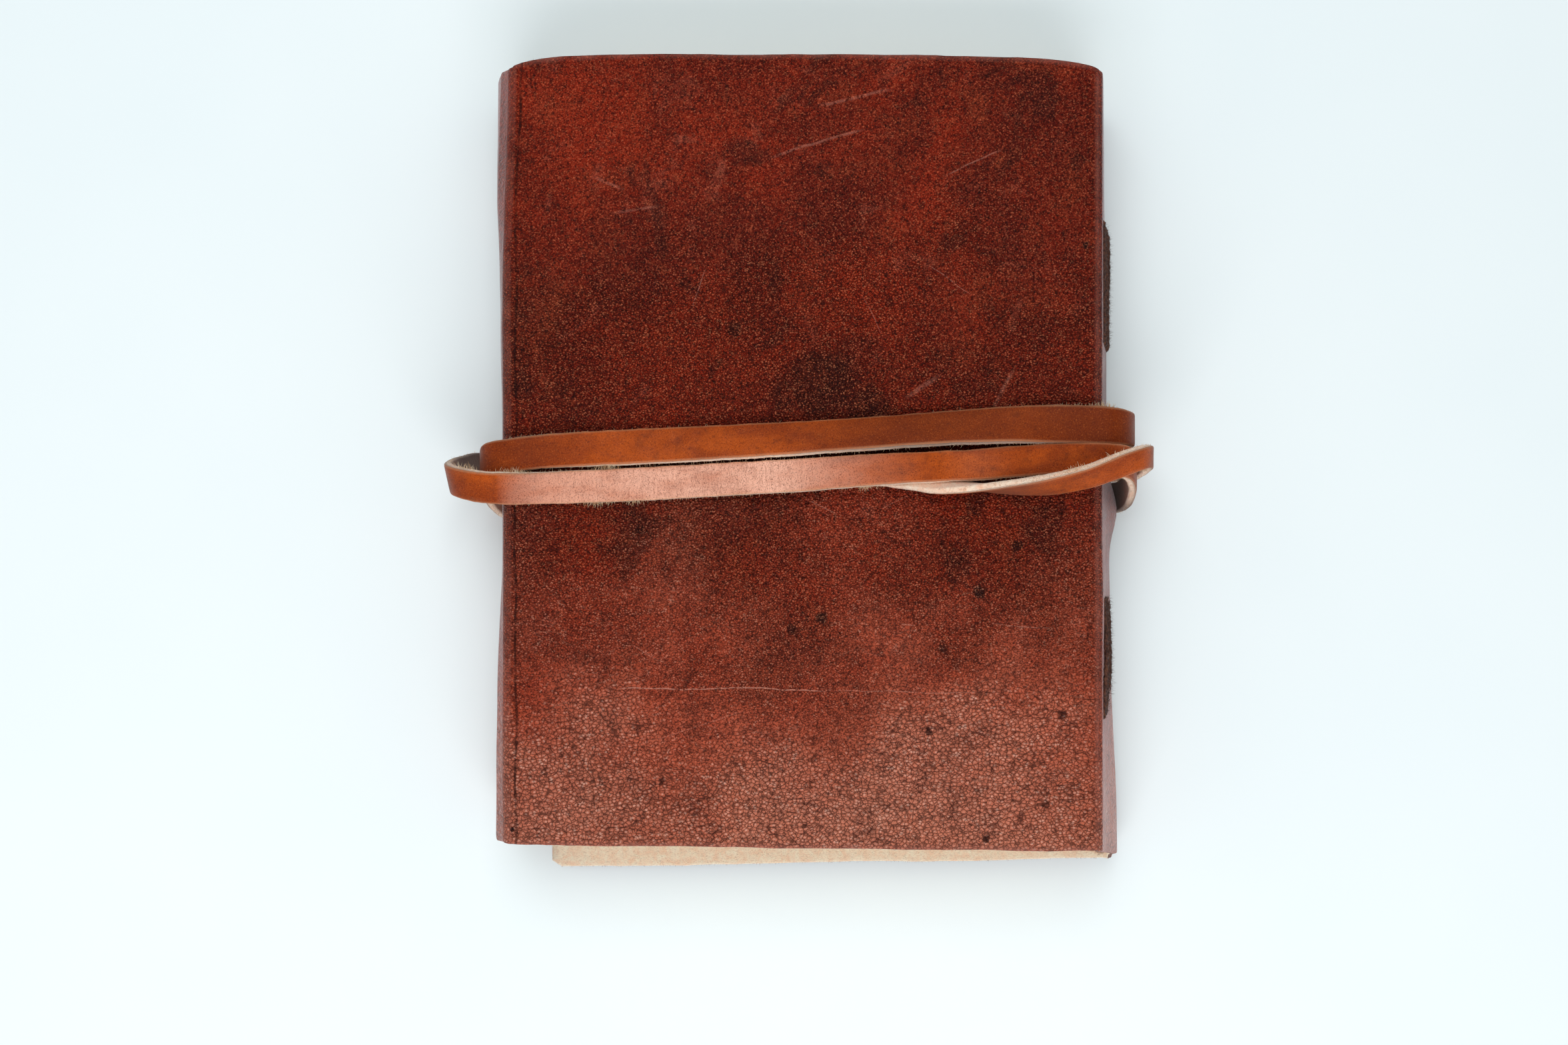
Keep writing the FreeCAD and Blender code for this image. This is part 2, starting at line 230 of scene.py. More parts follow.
def rounded_line(points, radii, step=2.2, arc_step=8):
    """Stations along an XZ path with rounded corners, about a step or an arc step apart."""
    path = [Vector(p) for p in points]
    stations = []
    start = path[0]
    travelled = 0

    def straight(a, b):
        nonlocal travelled
        direction = (b - a).normalized()
        inward = Vector((-direction.y, direction.x))
        count = max(1, round((b - a).length / step))
        for k in range(count):
            spot = a.lerp(b, k / count)
            stations.append(Station(*spot, *inward, travelled + (spot - a).length))
        travelled += (b - a).length

    for i, radius in enumerate(radii, 1):
        before = (path[i] - path[i - 1]).normalized()
        after = (path[i + 1] - path[i]).normalized()
        turn = math.atan2(before.x * after.y - before.y * after.x, before.dot(after))
        reach = radius * math.tan(turn / 2)
        arc_start = path[i] - before * reach
        straight(start, arc_start)
        centre = arc_start + Vector((-before.y, before.x)) * radius
        count = max(2, math.ceil(math.degrees(turn) / arc_step))
        for k in range(count):
            out = Matrix.Rotation(turn * k / count, 2) @ (arc_start - centre)
            inward = -out.normalized()
            stations.append(Station(*(centre + out), *inward, travelled + turn * radius * k / count))
        travelled += turn * radius
        start = path[i] + after * reach
    straight(start, path[-1])
    stations.append(Station(*path[-1], *stations[-1][2:4], travelled))
    return stations


HIDE_LINE = rounded_line(
    [
        (FRONT_LOW.x, FRONT_BOTTOM),
        (SPINE_FOOT_X, FRONT_BOTTOM),
        (SPINE_X, BACK_TOP),
        (FOLD_X, BACK_TOP),
        (WRAP_POINT_X, (BACK_TOP + FLAP_BOTTOM) / 2),
        (FOLD_X, FLAP_BOTTOM),
        (FLAP_HIGH.x, FLAP_BOTTOM),
    ],
    [FOLD_RADIUS, FOLD_RADIUS, FOLD_RADIUS, WRAP_RADIUS, FOLD_RADIUS],
)
LAST = len(HIDE_LINE) - 1


def first_station(test):
    return next(i for i, station in enumerate(HIDE_LINE) if test(station))


# The hide's meshes meet on straight leather, this far past where a rigid panel starts.
SEAM_PAST = 2.5
ON_SPINE = first_station(lambda at: at.x > SPINE_X and at.z > FRONT_BOTTOM + 5)
SEAM_SPINE = first_station(lambda at: at.x > SPINE_X and at.z > BACK_TOP - PANEL_SETBACK - SEAM_PAST)
ON_BACK = first_station(lambda at: at.z > BACK_TOP - 0.01)
SEAM_BACK = first_station(lambda at: at.z > BACK_TOP - 0.01 and at.x < FOLD_X + 7)
SEAM_WRAP = first_station(lambda at: at.x < FOLD_X and at.z < FLAP_BOTTOM + PANEL_SETBACK + SEAM_PAST)


# ---------------- materials


def srgb(r, g, b):
    """0 to 255 display values to linear light."""
    def one(c):
        c /= 255
        return c / 12.92 if c <= 0.04045 else ((c + 0.055) / 1.055) ** 2.4
    return one(r), one(g), one(b)


def colour(value):
    """An (r, g, b) tuple as RGBA; a socket stays itself."""
    return value if isinstance(value, bpy.types.NodeSocket) else (*value, 1)


class Nodes:
    """A short way to write the nodes of a material or a world, its owner.

    A pattern's size is in the units of the vector that it is drawn on.
    """

    def __init__(self, owner):
        self.owner = owner
        owner.use_nodes = True
        self.tree = owner.node_tree

    def put(self, socket, value):
        if isinstance(value, bpy.types.NodeSocket):
            self.tree.links.new(value, socket)
        else:
            socket.default_value = value

    def add(self, kind, inputs=None, **settings):
        node = self.tree.nodes.new("ShaderNode" + kind)
        for key, value in settings.items():
            setattr(node, key, value)
        for key, value in (inputs or {}).items():
            self.put(node.inputs[key], value)
        return node

    def fill(self, shader, inputs):
        """Set or link the shader's own inputs, and return the owner."""
        for key, value in inputs.items():
            self.put(self.tree.nodes[shader].inputs[key], value)
        return self.owner

    def surface(self, inputs):
        return self.fill("Principled BSDF", inputs)

    def carried(self, name):
        """A vector that every point of the mesh carries."""
        return self.add("Attribute", attribute_name=name).outputs["Vector"]

    def position(self):
        """The place on the object, in metres."""
        return self.add("TexCoord").outputs["Object"]

    def split(self, vector):
        return tuple(self.add("SeparateXYZ", {"Vector": vector}).outputs)

    def vector(self, operation, a, b):
        node = self.add("VectorMath", {0: a, 1: b}, operation=operation)
        return node.outputs["Value" if operation == "DISTANCE" else "Vector"]

    def stretched(self, vector, scale=(1, 1, 1), offset=(0, 0, 0)):
        node = self.add("Mapping", {"Vector": vector, "Scale": scale, "Location": offset})
        return node.outputs["Vector"]

    def noise(self, vector, size, detail=3, roughness=0.55, distortion=0):
        """Noise turned off the axes, where its lattice would show."""
        inputs = {"Vector": vector, "Rotation": (0.6, 0.4, 0.9), "Location": (3.1, 5.7, 9.3)}
        turned = self.add("Mapping", inputs).outputs["Vector"]
        inputs = {"Vector": turned, "Scale": 1 / size, "Detail": detail}
        inputs |= {"Roughness": roughness, "Distortion": distortion}
        return self.add("TexNoise", inputs).outputs["Fac"]

    def cells(self, vector, size, feature="F1"):
        inputs = {"Vector": vector, "Scale": 1 / size}
        return self.add("TexVoronoi", inputs, feature=feature).outputs["Distance"]

    def nudged(self, vector, place, size, amount):
        """A vector moved about by noise at a place, so that its pattern doesn't look drawn."""
        inputs = {"Vector": place, "Scale": 1 / size, "Detail": 2}
        field = self.add("TexNoise", inputs).outputs["Color"]
        centred = self.vector("SUBTRACT", field, (0.5, 0.5, 0.5))
        return self.vector("ADD", vector, self.vector("MULTIPLY", centred, (amount * 2, amount * 2, 0)))

    def ramp(self, value, low, high, bottom=0, top=1):
        """From bottom to top, eased, while the value goes from low to high."""
        inputs = {"Value": value, "From Min": low, "From Max": high, "To Min": bottom, "To Max": top}
        return self.add("MapRange", inputs, interpolation_type="SMOOTHSTEP").outputs["Result"]

    def math(self, operation, a, b=0):
        return self.add("Math", {0: a, 1: b}, operation=operation).outputs[0]

    def product(self, first, *others):
        for other in others:
            first = self.math("MULTIPLY", first, other)
        return first

    def away(self, value, centre):
        """How far a number is from another."""
        return self.math("ABSOLUTE", self.math("SUBTRACT", value, centre))

    def between(self, a, b, factor):
        """A number that goes from a to b with the factor."""
        return self.math("ADD", a, self.product(self.math("SUBTRACT", b, a), factor))

    def blend(self, a, b, factor):
        inputs = {0: factor, 6: colour(a), 7: colour(b)}
        return self.add("Mix", inputs, data_type="RGBA", clamp_factor=True).outputs[2]

    def paint(self, tone, *coats):
        """Shades in display values laid over a tone, each as far as its masks allow together."""
        for shade, *masks in coats:
            tone = self.blend(tone, srgb(*shade), self.product(*masks))
        return tone

    def bump(self, height, distance, strength=1, before=None):
        inputs = {"Height": height, "Distance": distance * 0.001, "Strength": strength}
        if before is not None:
            inputs["Normal"] = before
        return self.add("Bump", inputs).outputs["Normal"]


def new_material(name):
    return Nodes(bpy.data.materials.new(name))


def on_hide(x, y):
    """The hide coordinate of a place on the back cover."""
    station = HIDE_LINE[ON_BACK]
    return station.s + station.x - (BOOK_X + x), BOOK_Y + y


CREASE_S = on_hide(FOLD_X - BOOK_X + 2.6, 0)[0]         # a dark line pressed in beside the fold

# Marks on the back cover: x and y from its middle, radius, strength.
STAINS = [
    (-14.6, 27.4, 1.9, 0.75), (4, 15.5, 8.5, 0.62), (14, 9.5, 6, 0.6), (-3, 13.5, 4.6, 0.5),
    (4.1, -35, 1.5, 0.95), (-2.2, -37.6, 1.4, 0.8), (30.4, -41.4, 1.3, 0.75), (-35.2, -16, 1.2, 0.7),
    (46.2, -19.6, 1.5, 0.85), (38.2, -29.6, 1.6, 0.9), (27, -59.6, 0.8, 0.9), (61, 45.6, 1, 0.9),
    (39.6, -82.6, 0.9, 0.9), (52.5, -75, 1.1, 0.7), (-30.6, -70, 0.8, 0.8), (56, -56, 1, 0.7),
    (-38, 16, 0.7, 0.7), (19, 33, 1.2, 0.5),
]
# The awl hole is painted dark, as the shade inside it.
PRICK = (-62.6, -80.6, 0.62)        # an awl hole at the tail corner: x, y, radius

# Light scratches on the back cover: start x and y, end x and y, half width, strength.
SCRATCHES = [
    (-41, -50.1, 6, -50.5, 0.14, 1.2), (6, -50.5, 38, -51.2, 0.1, 0.7),
    (2, 75, 20, 79, 0.35, 0.35), (-8, 64, 14, 70.5, 0.3, 0.4),
    (30, 60, 44, 66.5, 0.16, 0.5), (-24, 31, -20.5, 41, 0.10, 0.8),
    (12.5, 35.5, 17.5, 25, 0.09, 0.6), (-42, 52, -30, 54, 0.3, 0.3),
    (26, 42, 37, 34, 0.10, 0.6), (40, -36.2, 55, -37.2, 0.10, 0.7),
    (21, -36, 24.5, -36.6, 0.14, 0.8), (-46, 60.5, -38, 57, 0.35, 0.3),
    (0, -9, 8, -13, 0.14, 0.6), (16, -12, 24, -8, 0.12, 0.4),
    (-38, -40, -30, -45, 0.09, 0.6), (36, -50, 36.4, -66, 0.10, 0.35),
    (-43, -50, -43.4, -60, 0.14, 0.4), (-34, -62, -12, -55, 0.12, 0.4),
    (22, 12, 30, 18, 0.5, 0.35), (40, 8, 46, 20, 0.4, 0.3),
]


def stain_and_hole_shade_mask(n, place):
    """Oily spots with ragged rims, and the awl hole with a round one, painted dark as the shade inside
    it.
    """
    ragged = n.nudged(place, place, 2.2, 1.1)
    mask = 0
    for x, y, radius, strength in STAINS:
        away = n.vector("DISTANCE", ragged, (*on_hide(x, y), 0))
        mask = n.math("MAXIMUM", mask, n.ramp(away, radius * 1.15, radius * 0.6, 0, strength))
    x, y, radius = PRICK
    away = n.vector("DISTANCE", place, (*on_hide(x, y), 0))
    return n.math("MAXIMUM", mask, n.ramp(away, radius, radius * 0.7))


def scratch_mask(n, place):
    """Straight light scratches, bent a little and broken up."""
    bent = n.nudged(place, place, 9, 0.7)
    mask = 0
    for x0, y0, x1, y1, half, strength in SCRATCHES:
        start, end = Vector(on_hide(x0, y0)), Vector(on_hide(x1, y1))
        middle, reach = (start + end) / 2, (end - start).length / 2
        angle = math.atan2(end.y - start.y, end.x - start.x)
        inputs = {"Vector": bent, "Location": (*middle, 0), "Rotation": (0, 0, angle)}
        local = n.add("Mapping", inputs, vector_type="TEXTURE").outputs["Vector"]
        along, across, _ = n.split(local)
        line = n.ramp(n.math("ABSOLUTE", across), half * 1.5, half * 0.3, 0, strength)
        ends = n.ramp(n.math("ABSOLUTE", along), reach, reach - min(4, reach * 2 / 3))
        mask = n.math("MAXIMUM", mask, n.product(line, ends))
    return n.product(mask, n.ramp(n.noise(place, 0.9, 3, 0.7), 0.36, 0.52))


def hide_grain(name, sheen=0, rise=1):
    """Dark red-brown waxed grain, in three zones from the head to the tail of the book.

    The head is finely speckled, the middle is pebbled over dark clouds, and the tail is paler, partly
    with a painted waxed sheen, and creased. The mesh carries "hide", which is (distance along the
    hide, distance towards the head) in millimetres, and "edge", which holds the grain's wear, with a
    painted highlight along the folds, and how far the hide stands as a wall, where a painted pale
    sheen stands in for glancing reflection; both go from 0 to 1.
    """
    n = new_material(name)
    place = n.carried("hide")
    wear_and_highlight, wall_sheen, _ = n.split(n.carried("edge"))
    s, y, _ = n.split(place)
    border = n.math("ADD", y, n.ramp(n.noise(place, 30, 3), 0.3, 0.7, -16, 16))
    relief = n.ramp(border, BOOK_Y + 64, BOOK_Y + 20, 0.45 * rise, rise)
    tail_zone = n.ramp(border, BOOK_Y - 2, BOOK_Y - 72)

    # Large soft changes of tone, then mottle and specks, which are calmer towards the tail.
    clouds = n.ramp(n.noise(place, 34, 4, 0.62, 0.5), 0.34, 0.66)
    warm = n.noise(place, 15, 4, 0.65, 0.6)
    pale = n.noise(n.stretched(place, offset=(70, 0, 0)), 11, 4, 0.7, 0.8)
    paleness = n.ramp(s, on_hide(-62, 0)[0], on_hide(-20, 0)[0], 0.5, 0.76)
    blot = n.noise(n.stretched(place, offset=(0, 55, 0)), 21, 3, 0.6, 0.8)
    fewer = n.ramp(tail_zone, 0, 1, 1, 0.3)
    mottle = n.noise(place, 2.4, 4, 0.7, 0.4)
    coarse = n.noise(place, 0.9, 4, 0.8)
    speck = n.noise(place, 0.4, 3, 0.8)
    calm = n.ramp(tail_zone, 0.1, 0.9, 1, 0.55)
    tone = n.paint(
        n.blend(srgb(98, 18, 5), srgb(142, 34, 10), clouds),
        ((152, 60, 32), n.ramp(warm, 0.5, 0.78, 0, 0.45)),
        ((170, 86, 66), n.ramp(pale, 0.56, 0.76, 0, 0.5)),
        # Paler towards the tail: the leather's own paler tone, with a painted waxed sheen.
        ((192, 92, 64), tail_zone, paleness),
        ((214, 142, 116), n.ramp(border, BOOK_Y - 40, BOOK_Y - 96, 0, 0.45)),
        ((54, 13, 9), n.ramp(blot, 0.57, 0.66, 0, 0.62), fewer),
        # Stains, and the awl hole painted dark as the shade inside it.
        ((30, 7, 5), stain_and_hole_shade_mask(n, place)),
        ((46, 8, 4), n.ramp(mottle, 0.5, 0.34, 0, 0.4)),
        ((168, 74, 44), n.ramp(mottle, 0.54, 0.72, 0, 0.35)),
        ((26, 4, 3), calm, n.ramp(coarse, 0.52, 0.36, 0, 0.7)),
        ((200, 100, 70), calm, n.ramp(coarse, 0.56, 0.74, 0, 0.4)),
        ((24, 3, 2), calm, n.ramp(speck, 0.5, 0.36, 0, 0.85)),
        ((214, 112, 74), calm, n.ramp(speck, 0.55, 0.72, 0, 0.7)),
    )

    # Pebbles with painted shade in their gaps and painted highlights on their tips, larger towards the
    # tail.
    nudged = n.nudged(n.stretched(place, (0.85, 1.1, 1)), place, 0.7, 0.16)
    large = n.ramp(border, BOOK_Y - 24, BOOK_Y - 70)
    pebble, edges = (
        n.between(n.cells(nudged, 0.5, feature), n.cells(nudged, 0.78, feature), large)
        for feature in ("F1", "DISTANCE_TO_EDGE")
    )
    patchy = n.ramp(n.noise(place, 1.6, 4, 0.75), 0.36, 0.66, 0.1, 1)
    bright = n.math("ADD", n.product(tail_zone, 0.12), 0.5)
    tips = n.product(n.ramp(pebble, 0.46, 0.1), relief, patchy, bright)
    tone = n.paint(tone, ((26, 4, 2), n.ramp(edges, 0.14, 0.03), relief, 0.7))
    shine = n.blend(srgb(248, 150, 108), srgb(255, 204, 182), tail_zone)
    tone = n.blend(tone, shine, n.product(tips, 0.66))

    # Cracks and fine folds at the tail, the pressed line, scratches, wear with a painted highlight along
    # the folds, and a painted pale sheen on the walls.
    creek = n.cells(n.stretched(nudged, (0.5, 1.1, 1)), 2.6, "DISTANCE_TO_EDGE")
    broken = n.ramp(n.noise(place, 5, 3), 0.44, 0.62)
    cracks = n.product(n.ramp(creek, 0.05, 0.01, 0, 0.7), tail_zone, broken)
    folds = n.noise(n.stretched(place, (0.25, 1, 1)), 5, 2, 0.5, 0.3)
    folds = n.product(n.ramp(n.away(folds, 0.5), 0.006, 0.001), tail_zone, patchy)
    waver = n.ramp(n.noise(place, 16, 2), 0.3, 0.7, CREASE_S - 0.35, CREASE_S + 0.35)
    uneven = n.ramp(n.noise(place, 3, 3), 0.35, 0.6, 0.3, 1)
    crease = n.product(n.ramp(n.away(s, waver), 0.36, 0.12), uneven)
    scratches = scratch_mask(n, place)
    worn_and_lit = n.product(wear_and_highlight, n.ramp(n.noise(place, 4, 4), 0.3, 0.62, 0.4, 1))
    tone = n.paint(
        tone,
        ((52, 16, 12), cracks, 0.8),
        ((226, 150, 124), folds, 0.3),
        ((206, 140, 120), scratches, 0.48),
        ((150, 92, 80), worn_and_lit, 0.55),
        ((30, 8, 6), crease, 0.75),
        ((160, 124, 116), wall_sheen, 0.14),
    )

    height = n.product(n.math("SUBTRACT", 1, pebble), relief, 0.4)
    for layer, depth in (
        (coarse, 0.1), (speck, 0.06), (folds, 0.07), (cracks, -0.13), (crease, -0.18), (scratches, -0.04),
        (n.noise(place, 6, 3), 0.15),
    ):
        height = n.math("ADD", height, n.product(layer, depth))
    rough = n.ramp(n.noise(place, 6, 4), 0.3, 0.7, 0.36, 0.5)
    return n.surface({
        "Base Color": tone,
        "Roughness": n.math("ADD", rough, n.product(worn_and_lit, 0.06)),
        "Specular IOR Level": 0.06,
        "Sheen Weight": sheen,
        "Sheen Roughness": 0.34,
        "Sheen Tint": (0.92, 0.88, 0.9, 1),
        "Normal": n.bump(height, 1),
    })


def suede(name, light, dark, shadow_tone=None):
    """The flesh side or a cut edge: pale, matt and fibrous, with painted shade where the mesh's fade
    value is below 0.
    """
    n = new_material(name)
    place = n.carried("hide")
    body = n.noise(place, 2.2, 5, 0.7, 0.6)
    hairs = n.noise(n.stretched(place, (1, 2.6, 1)), 0.45, 4, 0.75, 0.8)
    tone = n.blend(dark, light, n.ramp(body, 0.3, 0.66))
    tone = n.blend(tone, tuple(c * 0.62 for c in dark), n.ramp(hairs, 0.5, 0.34, 0, 0.75))
    tone = n.blend(tone, tuple(min(1, c * 1.12) for c in light), n.ramp(hairs, 0.55, 0.75, 0, 0.7))
    # Painted shade, where the strap's turns and loops fall in shadow.
    if shadow_tone:
        _, fade_and_shade, _ = n.split(n.carried("edge"))
        tone = n.blend(tone, shadow_tone, n.ramp(fade_and_shade, 0, -1, 0, 0.9))
    return n.surface({
        "Base Color": tone,
        "Roughness": 0.95,
        "Specular IOR Level": 0.15,
        "Sheen Weight": 0.25,
        "Sheen Roughness": 0.6,
        "Normal": n.bump(body, 0.3, 0.6, n.bump(hairs, 0.25, 0.9)),
    })


def strap_grain():
    """Tan grain: warmer and lighter than the cover, rubbed pink where it has faded.

    The mesh carries "hide", which is (distance along the strap, distance across), in millimetres,
    and "edge": how rubbed it is; a value above 0 where it has faded and below 0 where it is darkened
    with painted shade; and its steepness, which paints a greyish sheen on steep faces that stands in
    for glancing reflection.
    """
    n = new_material("strap_grain")
    place = n.carried("hide")
    rubbed, fade_and_shade, steepness = n.split(n.carried("edge"))
    paleness = n.math("MAXIMUM", fade_and_shade, 0)
    drawn = n.stretched(place, (0.35, 1, 1))
    clouds = n.ramp(n.noise(drawn, 5.5, 4, 0.6, 0.4), 0.34, 0.66)
    patchy = n.ramp(n.noise(drawn, 3.5, 4), 0.25, 0.6, 0.55, 1)
    speck = n.noise(place, 0.3, 4, 0.8)
    pores = n.ramp(n.cells(place, 0.5), 0.26, 0.08)
    creases = n.noise(n.stretched(place, (1.8, 0.35, 1)), 1.3, 3, 0.6, 0.7)
    creases = n.product(n.ramp(n.away(creases, 0.5), 0.03, 0), paleness)
    tone = n.paint(
        n.blend(srgb(146, 56, 10), srgb(180, 76, 14), clouds),
        ((92, 34, 12), n.ramp(n.noise(place, 2.4, 4, 0.7), 0.5, 0.74, 0, 0.5)),
        # Darkened with painted shade on the strap's shaded runs and turns.
        ((98, 34, 10), n.ramp(fade_and_shade, 0, -1, 0, 0.85)),
        ((250, 188, 162), paleness, patchy, 0.9),
        ((70, 24, 10), n.ramp(speck, 0.5, 0.32, 0, 0.8)),
        ((226, 128, 64), n.ramp(speck, 0.54, 0.74, 0, 0.45)),
        ((104, 44, 26), pores, 0.55),
        ((150, 84, 62), creases, 0.35),
        ((214, 160, 120), rubbed, 0.35),
        # A painted greyish sheen on steep faces, which stands in for glancing reflection.
        ((120, 88, 76), steepness, 0.5),
    )
    normal = None
    for height, distance, strength in (
        (n.noise(place, 0.4, 3, 0.65), 0.1, 0.6), (n.math("SUBTRACT", 1, pores), 0.06, 0.5),
        (n.math("SUBTRACT", 1, creases), 0.1, 0.5), (n.noise(drawn, 3, 2), 0.3, 0.3),
    ):
        normal = n.bump(height, distance, strength, normal)
    return n.surface({
        "Base Color": tone,
        "Roughness": n.ramp(n.noise(place, 3, 3), 0.3, 0.7, 0.38, 0.54),
        "Specular IOR Level": 0.1,
        "Normal": normal,
    })


def fibre(name, light, dark, roughness=0.9):
    """Loose fibres, which change colour from place to place."""
    n = new_material(name)
    return n.surface({
        "Base Color": n.blend(dark, light, n.ramp(n.noise(n.position(), 0.0011, 2), 0.3, 0.7)),
        "Roughness": roughness,
        "Specular IOR Level": 0.2,
    })


def waxed_thread():
    """Dark waxed thread, furred along its plies."""
    n = new_material("waxed_thread")
    position = n.position()
    flecks = n.noise(position, 0.0006, 4, 0.7)
    lint = n.noise(position, 0.0028, 3, 0.7)
    tone = n.blend(srgb(38, 17, 11), srgb(98, 54, 36), n.ramp(flecks, 0.36, 0.66))
    return n.surface({
        "Base Color": n.paint(tone, ((138, 92, 66), n.ramp(lint, 0.54, 0.76, 0, 0.5))),
        "Roughness": n.ramp(lint, 0.3, 0.7, 0.5, 0.75),
        "Specular IOR Level": 0.3,
        "Normal": n.bump(flecks, 0.15, 0.7),
    })


def handmade_paper():
    """Rough handmade paper with flecks and a felt-mark tooth."""
    n = new_material("handmade_paper")
    position = n.position()
    clouds = n.noise(position, 0.03, 5, 0.6)
    tooth = n.noise(position, 0.0009, 4, 0.7)
    flecks = n.ramp(n.cells(n.stretched(position, (1, 0.35, 1)), 0.0045), 0.07, 0.04)
    tone = n.blend(srgb(240, 224, 196), srgb(248, 236, 212), n.ramp(clouds, 0.3, 0.7))
    tone = n.paint(tone, ((206, 184, 150), n.ramp(tooth, 0.42, 0.28, 0, 0.5)))
    return n.surface({
        "Base Color": n.paint(tone, ((150, 122, 88), flecks, 0.5)),
        "Roughness": 0.92,
        "Specular IOR Level": 0.2,
        "Normal": n.bump(tooth, 0.12, 0.7),
    })


HIDE_GRAIN = hide_grain("hide_grain")
HIDE_WALL = hide_grain("hide_wall_grain", 0.42, 0.35)
HIDE_SUEDE = suede("hide_suede", srgb(255, 236, 210), srgb(252, 210, 178))
HIDE_EDGE = suede("hide_cut_edge", srgb(150, 96, 74), srgb(98, 52, 40))
STRAP_GRAIN = strap_grain()
# Its last tone is a painted shade, for the inside of the strap's loops.
STRAP_SUEDE = suede("strap_suede", srgb(255, 228, 204), srgb(252, 196, 164), srgb(74, 44, 30))
STRAP_FIBRE = fibre("strap_fibre", srgb(244, 222, 190), srgb(206, 160, 116))
HIDE_FIBRE = fibre("hide_fibre", srgb(196, 150, 122), srgb(120, 70, 54))
THREAD = waxed_thread()
THREAD_FIBRE = fibre("thread_fibre", srgb(92, 54, 38), srgb(32, 16, 11), 0.8)
PAPER = handmade_paper()


# ---------------- hide: one sheet, four meshes

GRAIN, FLESH, CUT, WALL = range(4)      # the hide's material slots
HIDE_SLOTS = (HIDE_GRAIN, HIDE_SUEDE, HIDE_EDGE, HIDE_WALL)
PATTERN_DEPTH = {GRAIN: 0, FLESH: 60, CUT: 90}              # so that the sides' patterns differ
ROUNDING = [0.42, 0.16, 0.04]       # how far the grain side drops at the first rows of an edge
EDGE_DEPTHS = [0.3, 0.52, 0.74]     # rows down a cut edge, as shares of the thickness
EDGE_ROWS = [0, 0.12, 0.35, 0.75, 1.4, 2.4, 4]              # first rows in from a cut edge
INNER_SPANS = 74                    # between the last of these rows at the tail and at the head


def free_corner(distance):
    """How far a cut edge pulls in at a rounded free corner."""
    if distance >= CORNER:
        return 0
    return CORNER - math.sqrt(max(0, CORNER ** 2 - (CORNER - distance) ** 2))


def cut_edges(station):
    """The tail and head cut edges, as Y, at one station of the hide."""
    x, z, s = station.x, station.z, station.s
    on_back = z > BACK_TOP - PANEL_SETBACK and x < SPINE_X - 0.5
    if s < HIDE_LINE[ON_SPINE].s + 1 and x < SPINE_FOOT_X - 2:
        across = (x - FRONT_LOW.x) / (SPINE_FOOT_X - FRONT_LOW.x)
        tail, head = mix(TAIL_FRONT - TAIL_SLACK, TAIL_FOOT - TAIL_SLACK / 2, across), HEAD_FRONT
    elif on_back and x > FOLD_X + 1:
        across = (x - FOLD_X) / (SPINE_X - FOLD_X)
        bow = HEAD_CROWN + HEAD_LIFT - (HEAD_WRAP + HEAD_SPINE) / 2
        tail = mix(TAIL_WRAP, TAIL_SPINE_TOP, across)
        head = mix(HEAD_WRAP, HEAD_SPINE, across) + bow * (1 - (2 * across - 1) ** 8)
    elif x > 0 and s < HIDE_LINE[ON_BACK].s:
        up = min(1, max(0, (z - FRONT_BOTTOM) / HEIGHT))
        tail, head = mix(TAIL_FOOT, TAIL_SPINE_TOP, up), mix(HEAD_FRONT, HEAD_SPINE, up)
    else:
        tail, head = TAIL_WRAP, HEAD_WRAP
    tail += 0.3 * wander(s, 3, size=21) + 0.08 * wander(s, 9, size=2.4)
    head += 0.3 * wander(s, 33, size=24) + 0.08 * wander(s, 39, size=2.7)
    pull = max(free_corner(s), free_corner(HIDE_LINE[LAST].s - s))
    return tail + pull, head - pull


def swell(station, y):
    """How far the hide stands off its drawn surface: soft, uneven, and flat under the strap."""
    x, z, s = station.x, station.z, station.s
    under_strap = 1 - smooth(abs(y), 11, 30)
    depth = 0.34 * (0.5 + 0.5 * wander(s, y, 4, 46, 2)) + 0.05 * wander(s, y, 8, 9, 2)
    if x < FOLD_X and z < BACK_TOP - 4:
        from_middle = abs(y - (HEAD_WRAP + TAIL_WRAP) / 2) / HALF_COVER
        depth += 1.3 * smooth(from_middle, 0.15, 0.9) + 0.3 * wander(s, y, 2, 26, 2)
    return max(0, depth) * (1 - 0.9 * under_strap)


def skew(x, y, z):
    """How far the hide leans in X: the spine outwards to the tail, the fore edge back at the head."""
    drop = smooth(BACK_TOP - z, 0, 1.5 * HEIGHT) / smooth(1, 0, 1.5)
    along = y - BOOK_Y
    twist = -SPINE_TWIST * along / HALF_COVER + SPINE_FLARE * smooth(-along, 45, 80)
    bulge = SPINE_BULGE * math.exp(-((along + 11.5) / 6.5) ** 2)
    lean = WRAP_LEAN * smooth(along, 36, 84) * (1 - 2 * drop) * smooth(-x, 30, -FOLD_X)
    return (twist + bulge) * drop * smooth(x, 0, SPINE_X) + lean


def row_spacing(tail, head):
    """Y of the rows across the hide, closer together near the cut edges."""
    inner = EDGE_ROWS[-1]
    middle = [mix(tail + inner, head - inner, k / INNER_SPANS) for k in range(1, INNER_SPANS)]
    return [tail + d for d in EDGE_ROWS] + middle + [head - d for d in reversed(EDGE_ROWS)]


def fold_wear_and_highlight(x, z):
    """How far the grain is rubbed along the two folds of the back cover, with a painted highlight on
    their crests.
    """
    if z > BACK_TOP - 3.5 and abs(x - SPINE_X) < 3:
        return 0.75 * math.exp(-((x - (SPINE_X - 0.9)) / 0.5) ** 2)
    return 0.4 if z > BACK_TOP - 3.5 and abs(x - FOLD_X) < 1.6 else 0


